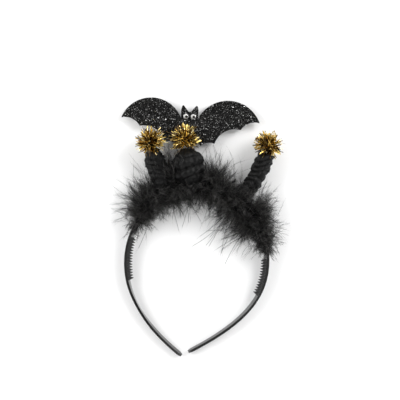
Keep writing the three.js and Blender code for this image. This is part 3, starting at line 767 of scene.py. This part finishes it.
def satin_plastic():
    finish, tree, shader = new_finish("satin_plastic", Specular_IOR_Level=0.6)
    mottled(tree, shader, 260, (0.006, 0.006, 0.0062), (0.018, 0.018, 0.0185), upper=0.75)
    roughened(tree, shader, 900, 0.28, 0.45)
    return finish


def black_marabou():
    finish, tree, shader = new_finish("black_marabou", Roughness=0.35)
    tone = tone_with_painted_light(tree)
    # Barbs near black; the lightest few are partly the greyer shafts marabou has and partly painted sheen
    black = shaded(
        tree, tone, (0.0, grey(0.0008)), (0.65, (0.003, 0.0029, 0.0028)),
        (0.88, (0.045, 0.044, 0.042)), (1.0, (0.3, 0.294, 0.28)),
    )
    tree.links.new(black, shader.inputs["Base Color"])
    gloss = ranged(tree, maths(tree, "POWER", tone, 2.0), 0.05, 0.8)
    tree.links.new(gloss, shader.inputs["Specular IOR Level"])
    return finish


def ruched_fabric():
    finish, tree, shader = new_finish(
        "ruched_fabric", Roughness=0.46, Specular_IOR_Level=0.17, Sheen_Weight=0.015, Sheen_Roughness=0.4
    )
    mottled(tree, shader, 260, grey(0.0006), (0.003, 0.003, 0.0028), upper=0.75)
    bumped(tree, shader, object_noise(tree, 2600, 2.0), 0.5, 0.2 * MM)
    return finish


def stalk_wire():
    finish, tree, shader = new_finish("stalk_wire", Metallic=0.8)
    mottled(tree, shader, 600, grey(0.05), grey(0.12))
    roughened(tree, shader, 900, 0.3, 0.5)
    return finish


def gold_tinsel():
    finish, tree, shader = new_finish("gold_tinsel", Metallic=1.0)
    # Strips toned at random from near black to pale gold: the darkest are painted shade between strips, the
    # brightest painted glints
    painted_gold_glint_and_shade = shaded(
        tree, tone_with_painted_light(tree),
        (0.0, (0.025, 0.016, 0.02)), (0.25, (0.12, 0.076, 0.034)), (0.45, (0.46, 0.315, 0.09)),
        (0.7, (0.9, 0.69, 0.23)), (1.0, (1.0, 0.92, 0.64)),
    )
    tree.links.new(painted_gold_glint_and_shade, shader.inputs["Base Color"])
    roughened(tree, shader, 700, 0.12, 0.3)
    return finish


def glitter_foam():
    finish, tree, shader = new_finish("glitter_foam", Specular_IOR_Level=0.06)
    coordinates = out(wire(tree, "ShaderNodeTexCoord"), "Object")
    grains = wire(tree, "ShaderNodeTexVoronoi", {"Vector": coordinates, "Scale": 2300.0}, feature="F1")
    tint = out(wire(tree, "ShaderNodeSeparateColor", {0: out(grains, "Color")}), "Red")
    speckle = shaded(tree, tint, (0.2, grey(0.0015)), (0.8, (0.006, 0.006, 0.0058)), (0.97, grey(0.03)))
    tree.links.new(speckle, shader.inputs["Base Color"])
    tree.links.new(ranged(tree, tint, 0.75, 0.35), shader.inputs["Roughness"])
    bumped(tree, shader, tint, 0.6, 0.12 * MM)
    return finish


def glitter_flake():
    finish, tree, shader = new_finish("glitter_flake", Metallic=1.0)
    # Most flakes dark; the brightest few are painted sparkle
    flake_tone_and_sparkle = shaded(
        tree, tone_with_painted_light(tree), (0.0, grey(0.005)), (0.5, (0.024, 0.024, 0.023)),
        (0.85, (0.14, 0.139, 0.134)), (1.0, (0.7, 0.7, 0.69)),
    )
    tree.links.new(flake_tone_and_sparkle, shader.inputs["Base Color"])
    roughened(tree, shader, 1200, 0.18, 0.42)
    return finish


def eye_white():
    finish, tree, shader = new_finish("eye_white", Roughness=0.4)
    mottled(tree, shader, 700, (0.78, 0.77, 0.74), (0.86, 0.85, 0.82))
    return finish


def eye_black():
    finish, tree, shader = new_finish("eye_black", Specular_IOR_Level=0.5)
    mottled(tree, shader, 900, grey(0.004), grey(0.01))
    roughened(tree, shader, 1400, 0.2, 0.35)
    return finish


def eye_clear():
    finish, tree, shader = new_finish("eye_clear", Transmission_Weight=1.0, IOR=1.46)
    shader.inputs["Base Color"].default_value = (*grey(0.98), 1)
    roughened(tree, shader, 1600, 0.01, 0.05)
    return finish


def pale_floor():
    finish, tree, shader = new_finish("pale_floor", Specular_IOR_Level=0.1)
    mottled(tree, shader, 40, grey(0.9), grey(0.915))
    roughened(tree, shader, 200, 0.7, 0.85)
    return finish


# Hoop


def band_profile():
    """Shares of half the thickness and half the width round the band's section, square with soft edges."""
    turn = full_turn(BAND_SIDES)
    through, across = (
        np.sign(wave) * np.abs(wave) ** roundness
        for wave, roundness in zip((np.cos(turn), np.sin(turn)), BAND_ROUNDNESS)
    )
    return through, across


def make_hoop(plastic):
    spread = np.linspace(-1, 1, BAND_STATIONS)
    tips = 1 - (TIP_ROUND / HALF_LENGTH) * (1 - np.sin(np.linspace(0, math.pi / 2, TIP_STEPS)))
    along = np.unique(np.concatenate([spread[np.abs(spread) < tips[0]], tips, -tips]))
    centre, inward, across = band_axes(along)
    through, sideways = band_profile()
    half_width = band_width(along)[:, None, None] / 2
    rings = (
        centre[:, None, :]
        + inward[:, None, :] * through[None, :, None] * BAND_THICKNESS / 2
        + across[:, None, :] * sideways[None, :, None] * half_width
    )
    rings[:, :, 2] = np.maximum(rings[:, :, 2], 0)
    place(lofted("hoop_strip", rings, plastic), "black_plastic", "hoop_band")


def make_combs(satin):
    """Two rows of teeth inside each arm, their feet sunk a little into the strip."""
    sink = BAND_THICKNESS * TOOTH_SINK_SHARE
    feet, directions, breadths = [], [], []
    for side, first, last in COMBS:
        places = side * np.arange(first, last, TOOTH_PITCH / HALF_LENGTH)
        centre, inward, across = band_axes(places)
        for row in (-1, 1):
            shift = row * (band_width(places)[:, None] / 2 - TOOTH_ROW_INSET)
            feet.append(centre + inward * (BAND_THICKNESS / 2 - sink) + across * shift)
            directions.append(inward)
            breadths.append(across)
    source = plain_mesh("comb_feet", np.concatenate(feet))
    give_attribute(source, "outward", np.concatenate(directions), "FLOAT_VECTOR")
    give_attribute(source, "across", np.concatenate(breadths), "FLOAT_VECTOR")
    sizes = {"Root radius": TOOTH_ROOT_RADIUS, "Breadth": TOOTH_BREADTH, "Height": TOOTH_HEIGHT + sink}
    place(grown("comb_teeth", source, teeth_tree(satin), sizes), "black_plastic")


# Stalks


def stalk_line(stalk, count):
    """Even points and headings from the band's outer face to a little way into the pompom."""
    centre, _, inward = hoop_frame(stalk.foot)
    foot = centre[0] - inward[0] * (BAND_THICKNESS / 2 + PIECE_GAP)
    through, pompom = np.array(stalk.through) * MM, np.array(stalk.pompom) * MM
    knots = [2 * foot - through, foot, through, pompom, 2 * pompom - through]
    t = np.linspace(0, 1, STALK_SPAN_STEPS)[:, None]
    spans = []
    for a, b, c, d in (knots[0:4], knots[1:5]):
        before, between, after = (math.sqrt(np.linalg.norm(q - p)) for p, q in ((a, b), (b, c), (c, d)))
        leave = ((b - a) / before - (c - a) / (before + between) + (c - b) / between) * between
        arrive = ((c - b) / between - (d - b) / (between + after) + (d - c) / after) * between
        square = -3 * b + 3 * c - 2 * leave - arrive
        cube = 2 * b - 2 * c + leave + arrive
        spans.append(b + leave * t + square * t**2 + cube * t**3)
    line = np.concatenate([spans[0], spans[1][1:]])
    steps = np.concatenate([[0], np.cumsum(np.linalg.norm(np.diff(line, axis=0), axis=1))])
    run = np.linspace(0, steps[-1] - KNOT_RADIUS + SLEEVE_TUCK, count)
    points = np.stack([np.interp(run, steps, line[:, k]) for k in range(3)], axis=1)
    return points, unit(np.gradient(points, axis=0))


def waves(rng, angle, fraction, fold, repeats=1):
    """Smooth random waves over a tube, closed round it, about as deep as the fold is."""
    total = np.zeros(np.broadcast(angle, fraction).shape)
    runs = fold.runs * repeats
    for _ in range(fold.count):
        around = rng.integers(*fold.turns)
        lengthwise = rng.uniform(-runs, runs)
        total += np.sin(around * angle + 2 * math.pi * (lengthwise * fraction + rng.uniform()))
    return fold.depth * total / math.sqrt(fold.count)


def tube_rings(stalk, reach):
    """Rings round a stalk's line, from the reach of each ring at each side."""
    points, headings = stalk_line(stalk, reach.shape[0])
    angle = full_turn(reach.shape[1])
    aside = unit(np.cross(headings, (0, 0, 1)))
    above = np.cross(aside, headings)
    rings = points[:, None, :] + aside[:, None, :] * (reach * np.cos(angle))[:, :, None]
    return rings + above[:, None, :] * (reach * np.sin(angle))[:, :, None]


def sleeve_rings(stalk, rng):
    """A gathered tube: puffs between gathers, each fold wandering a little round the stalk."""
    fraction = np.linspace(0, 1, SLEEVE_RINGS)[:, None]
    angle = full_turn(SLEEVE_SIDES)[None, :]
    foot = STALK_FOOT_SHARE + (1 - STALK_FOOT_SHARE) * smoothstep(fraction, 0, STALK_FOOT_TO)
    drawn = 1 + (stalk.neck - 1) * smoothstep(fraction, STALK_NECK_FROM, 1)
    phase = stalk.puffs * fraction + waves(rng, angle, fraction, WANDER)
    swells = rng.uniform(*PUFF_SIZES, stalk.puffs + 2 * SPARE_PUFFS)
    swell = swells[np.floor(phase).astype(int) + SPARE_PUFFS]
    puff = swell * np.abs(np.sin(math.pi * phase)) ** PUFF_FULLNESS
    pleats = waves(rng, angle, fraction, PLEATS)
    drawing = 1 + GATHERS_AT_NECK * smoothstep(fraction, *GATHERS_SPAN)
    gathers = drawing * waves(rng, angle, fraction, GATHERS) * (1 - GATHERS_EASE * puff)
    creases = waves(rng, angle, fraction, CREASES, stalk.puffs)
    folds = 1 - stalk.depth * (1 - puff) + pleats + gathers + creases
    rings = tube_rings(stalk, stalk.radius * MM * foot * drawn * folds)
    rings[:, :, 2] = np.maximum(rings[:, :, 2], SLEEVE_LOWEST)
    return rings


def post_rings(stalk):
    """The sprung core inside a sleeve, slimmer than its deepest folds."""
    radius = POST_SHARE * stalk.radius * stalk.neck * MM
    return tube_rings(stalk, np.full((POST_RINGS, POST_SIDES), radius))


def make_stalks(fabric, wire_finish):
    tree = fuzz_tree(fabric)
    for number, stalk in enumerate(STALKS):
        side = stalk.side
        rings = sleeve_rings(stalk, np.random.default_rng(SLEEVE_SEED + number))
        sleeve = place(lofted(f"gathered_sleeve_{side}", rings, fabric), "ruched_fabric", f"sleeve_{side}")
        sizes = {**SLEEVE_FUZZ, "Seed": SLEEVE_FUZZ_SEED + number}
        place(grown(f"sleeve_fuzz_{side}", sleeve.data.copy(), tree, sizes), "ruched_fabric")
        place(lofted(f"stalk_core_{side}", post_rings(stalk), wire_finish), "stalk_wire", f"post_{side}")


# Pompoms


def strip_directions(count):
    """Directions spread evenly over a ball."""
    z = 1 - (2 * np.arange(count) + 1) / count
    turn = np.arange(count) * math.pi * (3 - math.sqrt(5))
    level = np.sqrt(1 - z * z)
    return np.stack([level * np.cos(turn), level * np.sin(turn), z], axis=1)


def make_pompoms(tinsel):
    tree = tinsel_tree(tinsel)
    for number, stalk in enumerate(STALKS):
        side = stalk.side
        rng = np.random.default_rng(POMPOM_SEED + number)
        _, headings = stalk_line(stalk, STALK_HEADING_STEPS)
        directions = strip_directions(POMPOM_STRIPS)
        directions = unit(directions + rng.normal(0, STRIP_STRAY, directions.shape))
        directions = directions[directions @ -headings[-1] < STALK_SIDE_COSINE]
        count = len(directions)
        roots = np.array(stalk.pompom) * MM + rng.normal(0, POMPOM_LOOSENESS, (count, 3))
        source = plain_mesh(f"knot_{side}", roots)
        lengths = POMPOM_RADIUS * rng.uniform(*STRIP_LENGTH_SHARES, count)
        brushed, brightest_painted_glint = POMPOM_LOOKS[side]
        strips = directions * lengths[:, None] + np.array(brushed) * MM
        give_attribute(source, "outward", unit(strips), "FLOAT_VECTOR")
        give_attribute(source, "strip_length", np.linalg.norm(strips, axis=1))
        # Each strip's random tone, up to its brightest painted glint, which the tinsel finish paints as
        # glints and shade
        give_attribute(source, "tone", rng.uniform(0, brightest_painted_glint, count))
        under = 0 if side == "right" else BAT_FRONT
        sizes = {**STRIP_SIZES, "Lowest": under + PIECE_GAP, "Seed": STRIP_SEED + number}
        pompom = grown(f"tinsel_pompom_{side}", source, tree, sizes, smooth=False)
        place(pompom, "gold_tinsel", f"pompom_{side}")


# Marabou trim


def boa_point(along, angle, share):
    """Places in the trim: angle 0 points outwards and a quarter turn up; share is of the full reach."""
    centre, _, inward = hoop_frame(along)
    aside, above = np.cos(angle), np.sin(angle)
    outward, inner, front = (eased(BOA_SECTIONS, along, column) * MM for column in (OUTWARD, INWARD, FRONT))
    reach = np.where(aside > 0, outward, inner)
    rise = np.where(above > 0, front, BOA_BACK_REACH)
    point = centre - inward * (share * reach * aside)[:, None]
    point[:, 2] += share * rise * above
    return point


def beside_stalks(points):
    """True for points that lie outside every sleeve, or in the soft outer part of one."""
    clear = np.ones(len(points), dtype=bool)
    for stalk in STALKS:
        line, _ = stalk_line(stalk, STALK_SAMPLES)
        nearest = np.linalg.norm(points[:, None, :] - line[None, :, :], axis=2).min(axis=1)
        clear &= nearest > SLEEVE_FIRM_SHARE * stalk.radius * MM
    return clear


def plume_quills(kind, spot, rng):
    """Bent quills from the trim's core outwards, as edges with their share of length and barb length."""
    count = int(spot.share * kind.count)
    stray = kind.stray * MM
    along = rng.uniform(spot.first, spot.last, count)
    angle = np.radians(rng.uniform(spot.lowest, spot.highest, count))
    _, heading, _ = hoop_frame(along)
    sweep = rng.normal(0, stray, count)[:, None]
    root = boa_point(along, angle, np.full(count, QUILL_ROOT_SHARE))
    reach = rng.uniform(kind.nearest * spot.stretch, kind.furthest * spot.stretch, count)
    tip = boa_point(along, angle, reach) + heading * sweep + rng.normal(0, stray / 2, (count, 3))
    middle = (root + tip) / 2 - heading * sweep * QUILL_BOW + rng.normal(0, stray / 3, (count, 3))
    keep = beside_stalks(tip)
    root, middle, tip, along = root[keep], middle[keep], tip[keep], along[keep]
    share = np.linspace(0, 1, QUILL_STEPS)[None, :, None]
    lines = root[:, None] * (1 - share) ** 2 + 2 * middle[:, None] * share * (1 - share)
    lines += tip[:, None] * share**2
    lines[:, :, 2] = np.maximum(lines[:, :, 2], QUILL_LOWEST)
    number, steps = lines.shape[:2]
    index = np.arange(number * steps).reshape(number, steps)
    edges = np.stack([index[:, :-1].ravel(), index[:, 1:].ravel()], axis=1).tolist()
    source = plain_mesh(f"{kind.name}_quills", lines.reshape(-1, 3), edges)
    shares = np.tile(np.linspace(0, 1, steps), number)
    give_attribute(source, "quill_share", shares)
    fullness = np.clip(eased(BOA_SECTIONS, along, OUTWARD) / FULL_BARB_REACH, SHORTEST_BARB_SHARE, 1)
    lengths = kind.barb_length * MM * np.repeat(fullness, steps)
    give_attribute(source, "barb_length", lengths * (1 - BARB_TIP_LOSS * shares))
    return source


def grow_plumes(marabou, kind, spots, first_seed):
    """One kind of plume at each of its places along the hoop."""
    tree = barb_tree(marabou, kind.segments)
    sizes = {
        "Barbs per plume": kind.barbs, "Barb radius": kind.barb_radius * MM,
        "Quill radius": kind.quill_radius * MM, "Spread": kind.spread, "Curl": kind.curl * MM,
        "Curl scale": kind.curl_scale, "Lowest": BARB_LOWEST,
    }
    for seed, spot in enumerate(spots, first_seed):
        quills = plume_quills(kind, spot, np.random.default_rng(seed))
        plumes = grown(f"marabou_{kind.name}_{spot.name}", quills, tree, {**sizes, "Seed": seed})
        place(plumes, "black_marabou")


def make_boa(marabou):
    along = np.linspace(BOA_SECTIONS[0][0], BOA_SECTIONS[-1][0], BOA_CORE_RINGS)
    share = np.full(len(along), BOA_CORE_SHARE)
    sides = [boa_point(along, np.full(len(along), turn), share) for turn in full_turn(BOA_CORE_SIDES)]
    rings = np.stack(sides, axis=1)
    rings[:, :, 2] = np.maximum(rings[:, :, 2], BOA_CORE_LOWEST)
    core = place(lofted("marabou_core", rings, marabou), "black_marabou", "marabou_boa")
    place(grown("marabou_fuzz", core.data.copy(), fuzz_tree(marabou), CORE_FUZZ), "black_marabou")
    for number, kind in enumerate(PLUMES):
        grow_plumes(marabou, kind, PLUME_PLACES, PLUME_SEED + PLUME_SEED_STEP * number)
    grow_plumes(marabou, STRAYS, STRAY_PLACES, STRAY_SEED)


# Bat


def arc(start, end, rise, count=48):
    """Points of an arc that rises to the left of its chord, without the first one."""
    start, end = np.array(start, dtype=float), np.array(end, dtype=float)
    chord = end - start
    half = np.linalg.norm(chord) / 2
    radius = (half * half + rise * rise) / (2 * rise)
    left = unit(np.array((-chord[1], chord[0])))
    centre = (start + end) / 2 + left * (rise - radius)
    begin = math.atan2(*(start - centre)[::-1])
    finish = math.atan2(*(end - centre)[::-1])
    if rise > 0 and finish > begin:
        finish -= 2 * math.pi
    if rise < 0 and finish < begin:
        finish += 2 * math.pi
    turn = np.linspace(begin, finish, count)[1:]
    return centre + abs(radius) * np.stack([np.cos(turn), np.sin(turn)], axis=1)


def curve_to(start, corner, end, count=16):
    t = np.linspace(0, 1, count)[1:, None]
    start, corner, end = (np.array(p, dtype=float) for p in (start, corner, end))
    return start * (1 - t) ** 2 + 2 * corner * t * (1 - t) + end * t * t


def line_to(start, end, count=8):
    t = np.linspace(0, 1, count)[1:, None]
    return np.array(start, dtype=float) * (1 - t) + np.array(end, dtype=float) * t


def bat_half(head_aside):
    """Half of the bat's edge for x over 0, in millimetres, with the head moved between the wings."""
    notch = (head_aside, EAR_NOTCH[1])
    ear_foot = (EAR_NOTCH[0] + head_aside, EAR_NOTCH[1])
    ear_x = EAR_TIP[0] + head_aside
    ear_inner = (ear_x - EAR_TIP_ROUND, EAR_TIP[1] - EAR_TIP_ROUND)
    ear_outer = (ear_x + EAR_TIP_ROUND, EAR_TIP[1] - EAR_TIP_ROUND)
    cheek = (CHEEK[0] + head_aside, CHEEK[1])
    root = (WING_ROOT[0] + head_aside, WING_ROOT[1])
    notch_y = BODY_SIDE[1] + BODY_NOTCH
    runs = [
        [notch],
        line_to(notch, ear_foot),
        line_to(ear_foot, ear_inner),
        curve_to(ear_inner, (ear_x, EAR_TIP[1] + EAR_TIP_ROUND), ear_outer),
        line_to(ear_outer, cheek),
        line_to(cheek, root),
        arc(root, WING_TIP, WING_ARCH, count=90),
        arc(WING_TIP, WING_POINT_OUTER, -SCALLOPS[0]),
        arc(WING_POINT_OUTER, WING_POINT_INNER, -SCALLOPS[1]),
        arc(WING_POINT_INNER, BODY_SIDE, -SCALLOPS[2], count=24),
        curve_to(BODY_SIDE, (BODY_NOTCH_CORNER * BODY_SIDE[0], notch_y), (0, notch_y)),
    ]
    return np.concatenate(runs)


def bat_outline():
    """The whole edge: the right half from the ear notch down, then the left one back up."""
    right = bat_half(HEAD_ASIDE)
    left = bat_half(-HEAD_ASIDE)[1:-1][::-1] * (-1, 1)
    return np.concatenate([right, left])


def on_bat(points, height):
    """Points of the bat's plane, in metres, at a height over the floor."""
    cosine, sine = math.cos(BAT_TURN), math.sin(BAT_TURN)
    flat = np.atleast_2d(points) @ np.array(((cosine, sine), (-sine, cosine))) + BAT_PLACE
    return np.column_stack([flat, np.full(len(flat), height)])


def bat_rings():
    """Rings up the cut edge, from the back round to the front, slightly rough as cut foam is."""
    rng = np.random.default_rng(FOAM_EDGE_SEED)
    outline = bat_outline() * MM
    tangent = unit(np.roll(outline, -1, axis=0) - np.roll(outline, 1, axis=0))
    inside = np.column_stack([tangent[:, 1], -tangent[:, 0]])
    rough = rng.uniform(-FOAM_EDGE_ROUGHNESS, FOAM_EDGE_ROUGHNESS, len(outline))[:, None] * MM
    rings = []
    for inset, height in FOAM_EDGE:
        rings.append(on_bat(outline + inside * (inset * MM + rough), BAT_BACK + height * MM))
    return np.stack(rings)


def make_bat(foam, flake):
    rings = bat_rings()
    count, sides = rings.shape[:2]
    edit = bmesh.new()
    corners = [[edit.verts.new(p) for p in ring] for ring in rings]
    for r in range(count - 1):
        for k in range(sides):
            after = (k + 1) % sides
            edit.faces.new((corners[r][k], corners[r][after], corners[r + 1][after], corners[r + 1][k]))
    back = edit.faces.new(corners[0])
    front = edit.faces.new(corners[-1])
    bmesh.ops.triangulate(edit, faces=[back, front])
    bmesh.ops.recalc_face_normals(edit, faces=edit.faces)
    mesh = bpy.data.meshes.new("foam_bat")
    edit.to_mesh(mesh)
    edit.free()
    mesh.materials.append(foam)
    bat = place(shown("foam_bat", mesh), "glitter_foam", "bat_panel")
    face = bmesh.new()
    face.from_mesh(mesh)
    sideways = [f for f in face.faces if f.normal.z < FRONT_RISE]
    bmesh.ops.delete(face, geom=sideways, context="FACES")
    source = bpy.data.meshes.new("bat_front")
    face.to_mesh(source)
    face.free()
    place(grown("bat_glitter", source, glitter_tree(flake), GLITTER, smooth=False), "glitter_foam")


# Eyes


def spun(name, profile, centre, base, finish, segments=48):
    """A turned piece from (radius, height) steps that start and end on its axis."""
    turn = full_turn(segments)
    rings = []
    for radius, height in profile:
        ring = np.stack([radius * np.cos(turn), radius * np.sin(turn), np.full(segments, height)], axis=1)
        rings.append(ring + (centre[0], centre[1], base))
    return lofted(name, np.stack(rings), finish)


def disc_profile(radius, thickness, edge):
    turn = np.linspace(0, math.pi / 2, 6)
    lower = [(radius - edge + edge * math.sin(t), edge - edge * math.cos(t)) for t in turn]
    upper = [(radius - edge + edge * math.cos(t), thickness - edge + edge * math.sin(t)) for t in turn]
    hub = radius * HUB_SHARE
    return [(hub, 0), *lower, *upper, (hub, thickness)]


def dome_profile():
    turn = np.linspace(HUB_TURN, math.pi / 2, 16)
    outside = [(EYE_RADIUS * math.sin(t), EYE_DOME_HEIGHT * math.cos(t)) for t in turn]
    inner_radius = EYE_RADIUS - EYE_DOME_WALL
    inner_height = EYE_DOME_HEIGHT - EYE_DOME_WALL
    inside = [(inner_radius * math.sin(t), inner_height * math.cos(t)) for t in turn[::-1]]
    return [*outside, *inside]


def make_eyes(white, black, clear):
    white_disc = disc_profile(EYE_RADIUS, EYE_BACK_THICKNESS, EYE_BACK_EDGE)
    black_dot = disc_profile(PUPIL_RADIUS, PUPIL_THICKNESS, PUPIL_EDGE)
    back_base = BAT_FRONT + PIECE_GAP
    front_base = back_base + EYE_BACK_THICKNESS + PIECE_GAP
    for side, sign in (("left", -1), ("right", 1)):
        spot = np.array((sign * EYE_OFFSET[0] + HEAD_ASIDE * MM, EYE_OFFSET[1]))
        centre = on_bat(spot, 0)[0]
        pupil = on_bat(spot + PUPIL_SHIFT, 0)[0]
        disc = spun(f"eye_disc_{side}", white_disc, centre, back_base, white)
        place(disc, "eye_white", f"eye_back_{side}")
        dot = spun(f"eye_dot_{side}", black_dot, pupil, front_base, black)
        place(dot, "eye_black", f"eye_pupil_{side}")
        bubble = spun(f"eye_bubble_{side}", dome_profile(), centre, front_base, clear)
        place(bubble, "eye_clear", f"eye_dome_{side}")


# Studio


def make_floor():
    half = FLOOR_WIDTH / 2
    corners = ((-half, -half, 0), (half, -half, 0), (half, half, 0), (-half, half, 0))
    mesh = plain_mesh("floor", corners, faces=[(0, 1, 2, 3)])
    mesh.materials.append(pale_floor())
    shown("floor", mesh)


def add_softbox(name, position, size, power):
    """A round soft light aimed at the origin."""
    lamp = bpy.data.lights.new(name, "AREA")
    lamp.shape = "DISK"
    lamp.size = size
    lamp.energy = power
    box = bpy.data.objects.new(name, lamp)
    box.location = position
    box.rotation_euler = (-Vector(position)).to_track_quat("-Z", "Y").to_euler()
    bpy.context.scene.collection.objects.link(box)


def make_studio():
    scene = bpy.context.scene
    world = bpy.data.worlds.new("studio")
    scene.world = world
    world.use_nodes = True
    tree = world.node_tree
    sky = next(node for node in tree.nodes if node.type == "BACKGROUND")
    direction = out(wire(tree, "ShaderNodeTexCoord"), "Generated")
    height = out(wire(tree, "ShaderNodeSeparateXYZ", {0: direction}), "Z")
    glow = shaded(tree, height, *((level, grey(tone)) for level, tone in SKY_TONES))
    tree.links.new(glow, sky.inputs["Color"])
    sky.inputs["Strength"].default_value = SKY_STRENGTH
    for softbox in SOFTBOXES:
        add_softbox(*softbox)
    scene.view_settings.view_transform = "Standard"
    camera = bpy.data.cameras.new("camera")
    camera.angle = 2 * math.atan(VIEW_WIDTH / 2 / (CAMERA_HEIGHT - VIEW_PLANE))
    eye = bpy.data.objects.new("camera", camera)
    eye.location = (*CAMERA_AIM, CAMERA_HEIGHT)
    eye.rotation_euler = (0, 0, CAMERA_TURN)
    scene.collection.objects.link(eye)
    scene.camera = eye


make_studio()
make_floor()
make_hoop(black_plastic())
make_combs(satin_plastic())
make_boa(black_marabou())
make_stalks(ruched_fabric(), stalk_wire())
make_pompoms(gold_tinsel())
make_bat(glitter_foam(), glitter_flake())
make_eyes(eye_white(), eye_black(), eye_clear())
